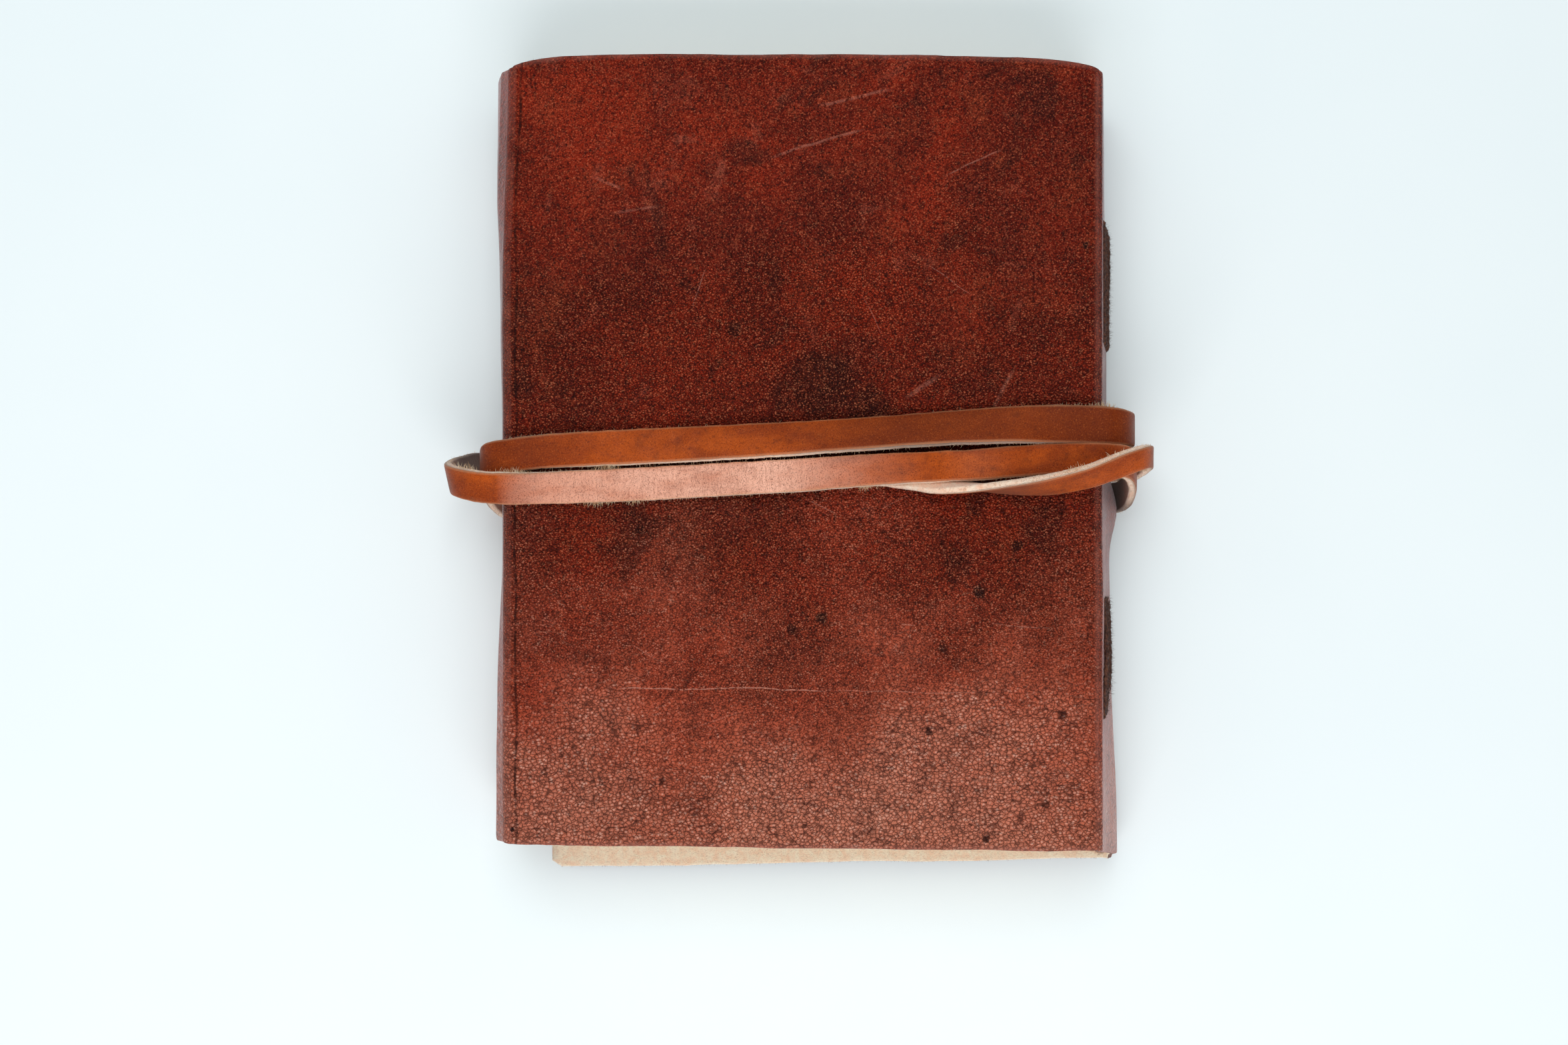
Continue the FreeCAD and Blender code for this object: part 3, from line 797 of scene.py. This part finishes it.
def hide_section(station):
    """One closed loop round the hide: (place, hide coordinate, edge values, slot)."""
    x, z, inward_x, inward_z, s = station
    tail, head = cut_edges(station)
    rows = row_spacing(tail, head)
    rounding = ROUNDING + [0] * (len(rows) - 2 * len(ROUNDING)) + ROUNDING[::-1]
    # How far the hide stands as a wall: these faces get the wall material and a painted pale sheen, which
    # stands in for glancing reflection.
    wall_sheen = smooth(BACK_TOP - z, 0.8, 3.2) * smooth(z - FRONT_BOTTOM, -0.5, 1.5)
    loop = []

    def put(y, depth, slot, wear_and_highlight=0):
        offset = depth - swell(station, y)
        spot = (x + inward_x * offset + skew(x, y, z), y, z + inward_z * offset)
        kind = WALL if slot == GRAIN and wall_sheen > 0.5 else slot
        loop.append((spot, (s, y, PATTERN_DEPTH[slot]), (wear_and_highlight, wall_sheen, 0), kind))

    for y, drop in zip(rows, rounding):
        rubbed = 0.9 * (1 - smooth(min(y - tail, head - y), 0.2, 1.3))
        # Rubbed grain at the cut edges; along the folds, rubbed grain with a painted highlight.
        put(y, drop, GRAIN, max(rubbed, fold_wear_and_highlight(x, z) * (1 + 0.5 * wander(s, y, 5, 13))))
    for share in EDGE_DEPTHS:
        put(head + 0.07 * wander(s, share * 9, 1, 0.9), share * LEATHER, CUT)
    for y, drop in zip(reversed(rows), rounding):
        put(y, LEATHER - drop * 0.7, FLESH)
    for share in reversed(EDGE_DEPTHS):
        put(tail + 0.07 * wander(s, share * 9, 2, 0.9), share * LEATHER, CUT)
    return loop


def hide_piece(name, first, last):
    """The part of the hide between two stations, with a cut end where the hide ends."""
    loops = [hide_section(HIDE_LINE[i]) for i in range(first, last + 1)]
    size = len(loops[0])
    rows = size // 2 - len(EDGE_DEPTHS)
    faces = tube_faces(len(loops), size)
    slots = []
    for loop in loops[:-1]:
        kinds = [entry[3] for entry in loop]
        slots += [a if a == b else CUT for a, b in zip(kinds, kinds[1:] + kinds[:1])]
    for is_end, base, step in ((first == 0, 0, -1), (last == LAST, (len(loops) - 1) * size, 1)):
        for j in range(rows - 1 if is_end else 0):
            back = size - len(EDGE_DEPTHS) - 1 - j
            faces.append(tuple(base + k for k in (j, j + 1, back - 1, back)[::step]))
            slots.append(CUT)
    places, hide, edge, _ = zip(*(entry for loop in loops for entry in loop))
    item = make_object(name, places, faces, HIDE_SLOTS, slots, hide=hide, edge=edge)
    return item


# Each mesh, its first and last stations, the body and the reach of its rigid panel, and the nodes
# that it stands for.
HIDE_PIECES = (
    ("front_cover_and_spine_leather", 0, SEAM_SPINE, "book", lambda at: True,
     ("front_cover", "spine_panel", "lower_spine_fold")),
    ("back_cover_leather", SEAM_SPINE, SEAM_BACK, "cover", lambda at: at.x <= SPINE_X - PANEL_SETBACK,
     ("back_cover", "upper_spine_fold")),
    ("fore_edge_leather", SEAM_BACK, SEAM_WRAP, "wrap",
     lambda at: FLAP_BOTTOM + 6 < at.z < BACK_TOP - 5, ("fore_edge_wrap", "upper_fore_edge_fold")),
    ("flap_leather", SEAM_WRAP, LAST, "flap", lambda at: at.x >= FOLD_X + 5,
     ("closing_flap", "lower_fore_edge_fold")),
)


def build_hide():
    meshes = []
    for name, first, last, _, _, nodes in HIDE_PIECES:
        item = hide_piece(name, first, last)
        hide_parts(*nodes)
        meshes.append(item)
    front, back, wrap, flap = meshes
    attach(front, "book")
    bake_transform(back)
    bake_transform(wrap)
    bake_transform(flap)


# ---------------- loose fibres


def random_vector():
    return Vector((random.uniform(-1, 1), random.uniform(-1, 1), random.uniform(-1, 1)))


def tufts(name, roots, material, length, radius):
    """Curved tapering three-sided hairs; each root is (point, direction)."""
    rings, sides = 4, 3
    points, faces = [], []
    for point, direction in roots:
        grow = Vector(direction).normalized()
        grow = (grow + 0.55 * random_vector()).normalized()
        curl = random_vector() * 0.5
        size = random.uniform(*length) * random.uniform(0.5, 1)
        side = grow.orthogonal().normalized()
        other = grow.cross(side)
        faces += tube_faces(rings, sides, len(points))
        spot = Vector(point) - grow * 0.12
        for ring in range(rings):
            t = ring / (rings - 1)
            thick = radius * (1 - 0.8 * t)
            for k in range(sides):
                a = k * math.tau / sides
                points.append(spot + (side * math.cos(a) + other * math.sin(a)) * thick)
            spot = spot + (grow + curl * t) * (size / (rings - 1))
    return make_object(name, points, faces, (material,))


# ---------------- strap

# The strap's middle line: x and y from the middle of the back cover, z, width, roll in degrees and
# fade, which is above 0 where the strap has faded and below 0 where it is darkened with painted
# shade. Roll turns its head-side edge up.
TABLE_RUN = 0.95                    # height of its middle line on the table
COVER_RUN = BACK_TOP + 1.25         # on the back cover
OVER_RUN = COVER_RUN + 2            # over another run
ROOT_RUN = FRONT_BOTTOM - 1.2       # and under the front cover
STRAP_ROUTE = [
    # root and first time up the spine
    (32, 5.6, ROOT_RUN, 7.4, 0, 0),
    (39, 5.6, ROOT_RUN, 7.4, 0, 0),
    (45, 5.6, ROOT_RUN, 7.4, 0, 0),
    (53, 5.6, TABLE_RUN, 7.4, 0, 0),
    (66, 5.6, TABLE_RUN, 7.4, 0, 0),
    (70.8, 5.6, 1.5, 7.4, 0, 0),
    (73, 5.6, 4.8, 7, 0, 0),
    (73, 5.6, 13, 6.8, 0, 0.1),
    (72.2, 5.7, 22, 7, 0, 0.3),
    (70.8, 5.9, 27, 7.3, 0, -0.5),
    (67.2, 6.3, COVER_RUN - 0.1, 7.8, 0, -0.8),
    # first time over
    (61, 6.7, COVER_RUN + 0.1, 8.2, 0, -1),
    (54, 6.7, COVER_RUN + 0.3, 8.2, -6, -0.8),
    (44, 6.5, COVER_RUN + 1, 8.1, -20, -0.6),
    (28, 5.6, COVER_RUN + 1.2, 7.7, -26, -0.7),
    (10, 4.3, COVER_RUN + 1.2, 7.6, -26, -0.5),
    (-10, 3.1, COVER_RUN + 0.9, 7.6, -20, -0.1),
    (-28, 2.2, COVER_RUN + 0.6, 7.6, -14, -0.2),
    (-46, 1.4, COVER_RUN + 0.3, 7.4, -6, -0.2),
    (-56, 0.8, COVER_RUN + 0.1, 7.2, 0, -0.5),
    (-62, 0.1, COVER_RUN, 7.2, 0, -0.6),
    # tight turn down the fore edge, aslant towards the tail
    (-66.8, -0.6, BACK_TOP - 0.4, 7.2, 0, -0.6),
    (-69.4, -2, 25, 7.2, 0, -0.6),
    (-70.4, -4.8, 17, 7.2, 0, -0.6),
    (-69.9, -8, 9, 7.2, 0, 0),
    (-68, -9.9, 3.4, 7.2, 0, 0),
    (-64, -10.2, 1.1, 7.2, 0, 0),
    (-56, -10.2, TABLE_RUN, 7, 0, 0),
    (0, -9.6, TABLE_RUN, 6.8, 0, 0),
    (60, -8.9, TABLE_RUN, 6.8, 0, 0),
    # second time up the spine, aslant towards the head
    (69, -8.9, 1.1, 6.8, 0, 0),
    (72.7, -8.7, 4.4, 6.8, 0, -1),
    (73.7, -7.6, 10.5, 6.8, 0, -0.8),
    (73.4, -5.5, 17.5, 6.8, 0, -0.3),
    (72.2, -3.2, 24.2, 6.8, 0, -0.2),
    (69.8, -1.5, 29.2, 6.8, 0, 0.1),
    (65.6, -0.8, COVER_RUN + 0.2, 6.7, 0, 0),
    # second time over, lifted where the tip is tucked below
    (60, -0.6, COVER_RUN + 0.2, 6.6, -3, 0),
    (54, -0.7, COVER_RUN + 0.4, 6.6, -6, 0),
    (46, -1.3, COVER_RUN + 0.9, 6.6, -8, 0),
    (36.6, -2.1, COVER_RUN + 1.8, 6.6, -10, 0.05),
    (27, -2.6, OVER_RUN + 0.4, 6.6, -11, 0),
    (16.6, -3.1, OVER_RUN + 0.3, 6.7, -9, 0.15),
    (5, -3.9, OVER_RUN + 0.1, 6.9, -6, 0.5),
    (-6, -4.6, OVER_RUN - 0.3, 7, -4, 1),
    (-16, -5.1, COVER_RUN + 0.9, 7, -2, 1),
    (-28, -5.8, COVER_RUN + 0.2, 7, 0, 0.95),
    (-45, -6.6, COVER_RUN + 0.1, 6.9, 2, 0.8),
    (-54, -6.9, COVER_RUN + 0.4, 6.8, 8, 0.65),
    (-61, -7.1, COVER_RUN + 0.8, 6.8, 14, 0.35),
    # loose loop down the fore edge, aslant towards the head
    (-67, -6.9, COVER_RUN + 0.7, 6.8, 18, -0.1),
    (-72.2, -6.2, BACK_TOP + 0.2, 6.8, 20, -0.3),
    (-76, -5.2, 26, 6.8, 16, -0.4),
    (-77.4, -4.1, 20.4, 6.8, 8, -0.5),
    (-76.8, -3, 13.4, 6.8, 0, -1),
    (-74.8, -1.9, 6.8, 6.8, 0, -1),
    (-70.8, -1.7, 2.2, 6.8, 0, 0),
    (-65, -1.7, 1, 6.8, 0, 0),
    (-56, -1.7, TABLE_RUN, 6.6, 0, 0),
    (0, -1.8, TABLE_RUN, 6.4, 0, 0),
    (58, -1.9, TABLE_RUN, 6.2, 0, 0),
    # third time up the spine
    (69, -1.9, 1, 6, 0, 0),
    (74.2, -1.9, 2.2, 6, 0, 0),
    (75.9, -1.8, 7, 6, 0, 0),
    (75.9, -1.4, 14, 5.6, 0, 0.1),
    (75.7, -0.8, 21, 5.2, 0, 0),
    (75.2, -0.3, 27.2, 4.8, 0, -0.4),
    (73.4, -0.4, 31.8, 5, 14, -0.2),
    # third time over, turning over until its flesh side is up
    (70.4, -1.1, 34.2, 5.6, 30, 0),
    (65.5, -2.9, 34.8, 6, 42, 0),
    (60, -4.8, 34.4, 6.1, 50, 0),
    (52, -6.4, 33, 6.1, 60, 0),
    (44, -6.9, 32.3, 5.9, 76, 0),
    (38, -6.9, 32, 5.7, 93, 0),
    (33, -6.5, 31.9, 5.6, 115, 0),
    (28, -5.8, 31.3, 5.4, 140, 0),
    (22, -4.5, 30.7, 5.3, 162, 0),
    (15, -3.9, COVER_RUN - 0.3, 5.2, 176, 0),
    (6, -4, COVER_RUN - 0.3, 5.2, 180, 0),
    (-3, -4.3, COVER_RUN - 0.3, 5, 180, 0),
]
STRAP_THICKNESS = 1.8
STRAP_STEP = 0.55           # between stations
STRAP_SUEDE_DEPTH = 40      # so that the two sides' patterns differ

# Where its edges have frayed: x and y from the middle of the back cover, z, how far around it.
FRAYED = [
    (65, 10.4, COVER_RUN, 3.4),
    (66, -0.5, COVER_RUN + 3.5, 5),
    (57, -2.6, COVER_RUN + 4, 5),
    (49, -4.5, COVER_RUN + 3, 3.5),
    (73.5, -3.2, COVER_RUN + 1, 2.2),
    (70.5, -6.5, 10, 6),
    (14, -7.5, OVER_RUN, 3),
    (-73, -3, BACK_TOP + 2, 4),
    (-62, -3.6, COVER_RUN + 1.5, 4),
    (-42, -3.2, COVER_RUN, 4),
    (-44, -10.2, COVER_RUN, 4),
    (-36, -9.8, COVER_RUN, 3),
]


def strap_stations():
    """Evenly spaced (point, tangent, across, out, width, fade and painted shade, distance) along the
    strap.
    """
    line = respaced(smooth_curve(STRAP_ROUTE, 16), STRAP_STEP)
    stations = []
    travelled = 0
    for k, (x, y, z, width, roll, fade_and_shade) in enumerate(line):
        before, after = neighbours(line, k)
        point = Vector((x + BOOK_X, y + BOOK_Y, z))
        tangent = (Vector(after[:3]) - Vector(before[:3])).normalized()
        across = Vector((0, 1, 0))
        across = (across - tangent * across.dot(tangent)).normalized()
        across = Matrix.Rotation(-math.radians(roll), 3, tangent) @ across
        if k:
            travelled += (point - stations[-1][0]).length
        out = across.cross(tangent).normalized()
        stations.append((point, tangent, across, out, width, fade_and_shade, travelled))
    return stations


def strap_profile(width, s):
    """The strap's rounded section: (across, out, slot), grain side first."""
    half, depth = width / 2, STRAP_THICKNESS / 2
    shares = [-1, -0.955, -0.86, -0.6, -0.3, 0, 0.3, 0.6, 0.86, 0.955, 1]
    drops = [0.3, 0.1, 0.02, 0, 0, 0, 0, 0, 0.02, 0.1, 0.3]
    side_shares = [0.35, 0.05, -0.25, -0.55]
    head = half + 0.14 * wander(s, 1, size=5) + 0.05 * wander(s, 4, size=1.1)
    tail = half + 0.14 * wander(s, 7, size=6) + 0.05 * wander(s, 11, size=1.2)

    def reach(share):
        return share * (tail if share < 0 else head)

    def rough(share, amount, seed, size):
        return amount * wander(s, share, seed, size)

    profile = [(reach(share), depth - drop, 0) for share, drop in zip(shares, drops)]
    for share in side_shares:
        profile.append((head + 0.05 + rough(share * 5, 0.06, 2, 0.8), share * depth, 1))
    for share in reversed(shares[1:-1]):
        profile.append((reach(share), -depth + rough(share * 9, 0.05, 3, 0.9), 1))
    for share in reversed(side_shares):
        profile.append((-tail - 0.05 - rough(share * 5, 0.06, 6, 0.8), share * depth, 1))
    return profile


def build_strap():
    stations = strap_stations()
    length = stations[-1][-1]
    points, places, edges = [], [], []
    for point, _, across, out, width, fade_and_shade, s in stations:
        taper = mix(0.45, 1, smooth(length - s, -1, 9))
        profile = strap_profile(width * taper, s)
        for offset, height, slot in profile:
            spot = point + across * offset + out * height
            spot.z = max(spot.z, 0.02)
            points.append(spot)
            places.append((s, offset, STRAP_SUEDE_DEPTH + height if slot else 0))
            rubbed = 1 - smooth(width / 2 - abs(offset), 0.05, 0.5)
            # With the fade and painted shade of the route, and the steepness that paints a greyish sheen.
            edges.append((rubbed, fade_and_shade, 1 - smooth(abs(out.z), 0.1, 0.85)))
    rings, size = len(stations), len(profile)
    kinds = [entry[2] for entry in profile]
    slots = [max(pair) for pair in zip(kinds, kinds[1:] + kinds[:1])] * (rings - 1) + [1, 1]
    faces = [*tube_faces(rings, size), *tube_ends(rings, size)]
    leather = (STRAP_GRAIN, STRAP_SUEDE)
    item = make_object("strap_leather", points, faces, leather, slots, hide=places, edge=edges)
    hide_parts("strap")
    settle(item)
    build_strap_fuzz(stations)


def build_strap_fuzz(stations):
    """Short fuzz along both edges, less where an edge is pressed down, and longer frays."""
    frayed = [(Vector((x + BOOK_X, y + BOOK_Y, z)), reach) for x, y, z, reach in FRAYED]
    roots, frays = [], []
    for point, tangent, across, out, width, _, s in stations:
        for side in (-1, 1):
            pressed = side * across.z < -0.1
            busy = -0.2 if pressed else 0.5 + 0.5 * wander(s, side * 20, 4, 6)
            middle = point + across * (side * width / 2)
            torn = max(1 - (middle - spot).length / reach for spot, reach in frayed)
            for _ in range(3 + round(6 * max(0, torn))):
                edge = middle + tangent * random.uniform(-0.3, 0.3) + out * random.uniform(-0.8, 0.4)
                root = (edge, across * side + out * random.uniform(-0.7, 1))
                if random.random() < 1.3 * torn:
                    frays.append(root)
                elif random.random() < 0.3 + 0.7 * busy:
                    roots.append(root)
    for name, places, length, radius in (
        ("strap_fuzz", roots, (0.2, 1), 0.045), ("strap_frays", frays, (0.6, 1.9), 0.06),
    ):
        fuzz = tufts(name, places, STRAP_FIBRE, length, radius)
        settle(fuzz)


def settle(item):
    """Fix an item to the book's body, with a mesh of its own."""
    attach(item, "book")
    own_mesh(item)


# ---------------- sewing and pages

SIGNATURES = sorted((n for n in frame["nodes"] if n.startswith("signature_")), key=lambda n: int(n[10:]))
THREAD_RADIUS = 0.5
THREAD_END = 6              # what is left of a thread inside, past its last station
SEWN_SPAN = 28              # the thread's two outside spans
PLY_RADIUS = 0.34
PLY_OFFSET = 0.27           # a ply's line from the thread's
SHEETS = 4                  # in a signature


def ply(name, route):
    """A round strand of uneven thickness along a line of points."""
    sides, step = 8, 0.5
    line = respaced(route, step)
    points = []
    side = Vector((0, 0, 1))
    for k, here in enumerate(line):
        before, after = neighbours(line, k)
        tangent = (Vector(after) - Vector(before)).normalized()
        side = (side - tangent * side.dot(tangent)).normalized()
        other = tangent.cross(side)
        for j in range(sides):
            a = j * math.tau / sides
            thick = PLY_RADIUS * (1 + 0.3 * wander(k * step, j * 1.7, 1, 0.7))
            points.append(Vector(here) + (side * math.cos(a) + other * math.sin(a)) * thick)
    faces = [*tube_faces(len(line), sides), *tube_ends(len(line), sides)]
    return make_object(name, points, faces, (THREAD,))


def spine_surface(z):
    """The X of the spine's outer face at a height."""
    return SPINE_X + (SPINE_FOOT_X - SPINE_X) * (BACK_TOP - z) / HEIGHT


def sewing_line(index, strand):
    """One ply of a signature's thread: its two spans on the spine, and its runs inside."""
    low, high = corners(f"thread_{index}")
    z = (low.z + high.z) / 2
    inner_x = low.x + THREAD_RADIUS
    middle = (low.y + high.y) / 2
    reach = (high.y - low.y) / 2 - THREAD_END
    gap = reach - SEWN_SPAN
    spread = (index - (len(SIGNATURES) + 1) / 2) / len(SIGNATURES)
    route = [(inner_x, middle - reach - THREAD_END, z), (inner_x, middle - reach, z)]
    steps = 24
    for direction, slack in ((-1, 1.25), (1, 0.2)):
        start, end = sorted((middle + direction * reach, middle + direction * gap))
        for k in range(steps + 1):
            t = k / steps
            y = mix(start, end, t)
            belly = math.sin(math.pi * t)
            gather = smooth(t if direction < 0 else 1 - t, 1, 0.25)
            bunch_z = z - spread * 5.5 * (1 - gather) * belly
            out = THREAD_RADIUS * (0.2 + slack * belly) + 0.25 * belly * wander(y, index * 5, size=9)
            turn = (y * 1.9 + strand * math.pi) + index
            spot = Vector((spine_surface(bunch_z) + out, y, bunch_z))
            spot += Vector((math.cos(turn), 0, math.sin(turn))) * PLY_OFFSET
            if k in (0, steps):
                spot.x = spine_surface(z) - 1.2
            route.append(tuple(spot))
        if direction < 0:
            route += [(inner_x, middle - gap, z), (inner_x, middle + gap, z)]
    return route + [(inner_x, middle + reach, z), (inner_x, middle + reach + THREAD_END, z)]


def build_sewing():
    roots = []
    for index in range(1, len(SIGNATURES) + 1):
        plies = []
        for strand in (0, 1):
            route = sewing_line(index, strand)
            plies.append(ply(f"thread_{index}_ply_{strand + 1}", route))
            for a, b in zip(route, route[1:]):
                a, b = Vector(a), Vector(b)
                if a.x < spine_surface(a.z) - 0.6 or b.x < spine_surface(b.z) - 0.6:
                    continue
                for _ in range(max(1, round((b - a).length * 6))):
                    spot = a.lerp(b, random.random())
                    x, y, z = random.uniform(-0.2, 1), random.uniform(-0.5, 0.5), random.uniform(-1, 1)
                    away = Vector((x, y, z))
                    roots.append((spot + away.normalized() * 0.3, away))
        for item in plies:
            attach(item, "book")
        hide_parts(f"thread_{index}")
    fuzz = tufts("thread_fuzz", roots, THREAD_FIBRE, (0.3, 1.7), 0.028)
    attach(fuzz, "book")


def fold_profile(fold_x, length, middle_z, radius):
    """X and Z of a sheet's face: in from its fore edge, round the fold and back."""
    columns, bends = 34, 8
    leaf = [fold_x - length * (1 - (k / (columns - 1)) ** 1.6) for k in range(columns)]
    result = [(x, middle_z + radius) for x in leaf]
    for k in range(1, bends):
        a = math.pi / 2 - math.pi * k / bends
        result.append((fold_x + radius * math.cos(a), middle_z + radius * math.sin(a)))
    return result + [(x, middle_z - radius) for x in reversed(leaf)]


def folded_sheet(node, order):
    """One sheet of a signature with torn edges, folded round the next: (points, faces)."""
    low, high = corners(node)
    half = (high.z - low.z) / 2
    middle_z = (low.z + high.z) / 2
    fold_x = high.x - half
    outer = half * (SHEETS - order) / SHEETS - 0.02
    paper = half / SHEETS * 0.72
    seed = int(node[10:]) * 31 + order * 7
    page = 160          # the rows are set out on a page of this length
    near_edge = [0, 0.5, 1.2, 2.5]
    rows = near_edge + [mix(5, page - 5, k / 20) for k in range(21)] + [page - d for d in near_edge[::-1]]
    shells = [fold_profile(fold_x, fold_x - low.x, middle_z, radius) for radius in (outer, outer - paper)]
    points, faces = [], []
    for profile in shells:
        for i, (x, z) in enumerate(profile):
            leaf = seed if i < len(profile) / 2 else seed + 50
            pull = 1 - smooth(min(i, len(profile) - 1 - i), 0, 9)
            for row in rows:
                share = row / page
                y = low.y + share * (high.y - low.y)
                near = 1 - smooth(min(row, page - row), 0, 3)
                inward = 0.9 + 0.7 * wander(x, leaf, share * 3, 7) + 0.35 * wander(x, seed, share, 1.3)
                y += near * max(0.05, inward) * (1 if share < 0.5 else -1)
                ragged = 1 + 0.8 * wander(y, leaf, 1, 8) + 0.4 * wander(y, seed, 2, 1.4)
                points.append((x + pull * max(0.05, ragged), y, z))
    width = len(rows)
    last = len(shells[0]) - 1
    shell = (last + 1) * width

    def quad(corner, one, other, turned=False):
        face = (corner, corner + one, corner + one + other, corner + other)
        faces.append(face[::-1] if turned else face)

    for i in range(last):
        for corner in range(i * width, (i + 1) * width - 1):
            quad(corner, width, 1)
            quad(corner + shell, 1, width)
    for i in range(last):
        for j in (0, width - 1):
            quad(i * width + j, shell, width, j > 0)
    for i in (0, last):
        for corner in range(i * width, (i + 1) * width - 1):
            quad(corner, shell, 1, i == 0)
    return points, faces


def build_pages():
    for node in SIGNATURES:
        points, faces = [], []
        for order in range(SHEETS):
            sheet_points, sheet_faces = folded_sheet(node, order)
            faces += [tuple(len(points) + k for k in face) for face in sheet_faces]
            points += sheet_points
        item = make_object(f"{node}_pages", points, faces, (PAPER,))
        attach(item, "book")
        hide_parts(node)


# ---------------- edge fuzz, stitches


def build_edge_fuzz():
    """Loose fibres along the hide's cut edges, on the rigid panel of each mesh."""
    for name, first, last, body, on_panel, _ in HIDE_PIECES:
        roots = []
        for a, b in zip(HIDE_LINE[first:last], HIDE_LINE[first + 1:last + 1]):
            if not on_panel(a):
                continue
            for edge, direction in ((0, -1), (1, 1)):
                for _ in range(round(7 * (b.s - a.s))):
                    t = random.random()
                    y = mix(cut_edges(a)[edge], cut_edges(b)[edge], t)
                    depth = random.uniform(0.5, LEATHER)
                    x = mix(a.x, b.x, t) + a.inward_x * depth
                    z = mix(a.z, b.z, t) + a.inward_z * depth
                    roots.append(((x, y, z), (0, direction, 0)))
        fuzz = tufts(f"{name}_fuzz", roots, HIDE_FIBRE, (0.1, 0.6), 0.022)
        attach(fuzz, body)


def finish_stitches():
    for node in frame["nodes"]:
        if node.startswith("anchor_stitch"):
            item = bpy.data.objects[node]
            item.data.materials.clear()
            item.data.materials.append(THREAD)


# ---------------- floor, light, camera


def build_floor():
    n = new_material("pale_table")
    tone = n.blend(srgb(236, 244, 246), srgb(248, 252, 252), n.noise(n.position(), 0.12, 3))
    top = n.surface({"Base Color": tone, "Roughness": 0.7, "Specular IOR Level": 0.25})
    half = 900
    points = [(-half, -half, 0), (half, -half, 0), (half, half, 0), (-half, half, 0)]
    make_object("table", points, [(0, 1, 2, 3)], (top,))


def add_light(name, place, size, power, tint):
    """A rectangular light aimed at the middle of the book."""
    data = bpy.data.lights.new(name, "AREA")
    data.shape = "RECTANGLE"
    data.size, data.size_y = size[0] * 0.001, size[1] * 0.001
    data.energy = power
    data.color = tint
    item = bpy.data.objects.new(name, data)
    item.location = mm(*place)
    item.rotation_euler = (mm(0, 0, 20) - mm(*place)).to_track_quat("-Z", "Y").to_euler()
    bpy.context.scene.collection.objects.link(item)


def build_light():
    """A pale bright room, and a broad soft window beyond the tail of the book."""
    bpy.context.scene.view_settings.view_transform = "Standard"
    world = bpy.data.worlds.new("room")
    bpy.context.scene.world = world
    n = Nodes(world)
    _, _, up = n.split(n.add("TexCoord").outputs["Generated"])
    strength = n.ramp(up, 0.35, 0.85, 0.66, 0.34)
    n.fill("Background", {"Color": (0.89, 0.975, 1, 1), "Strength": strength})
    add_light("window", (-20, -540, 560), (760, 460), 3.5, (0.99, 0.99, 1))
    add_light("lamp", (-80, 330, 680), (460, 460), 2, (0.95, 0.99, 1))


def build_camera():
    """Straight down, a little to the tail side of the cover's middle."""
    data = bpy.data.cameras.new("camera")
    data.lens = 36.2
    data.sensor_width = 36
    item = bpy.data.objects.new("camera", data)
    item.location = mm(BOOK_X - 4, BOOK_Y - 14.4, BACK_TOP + 340)
    bpy.context.scene.collection.objects.link(item)
    bpy.context.scene.camera = item


# ---------------- build


build_hide()
build_strap()
build_sewing()
build_pages()
build_edge_fuzz()
finish_stitches()
build_floor()
build_light()
build_camera()

bpy.context.view_layer.update()
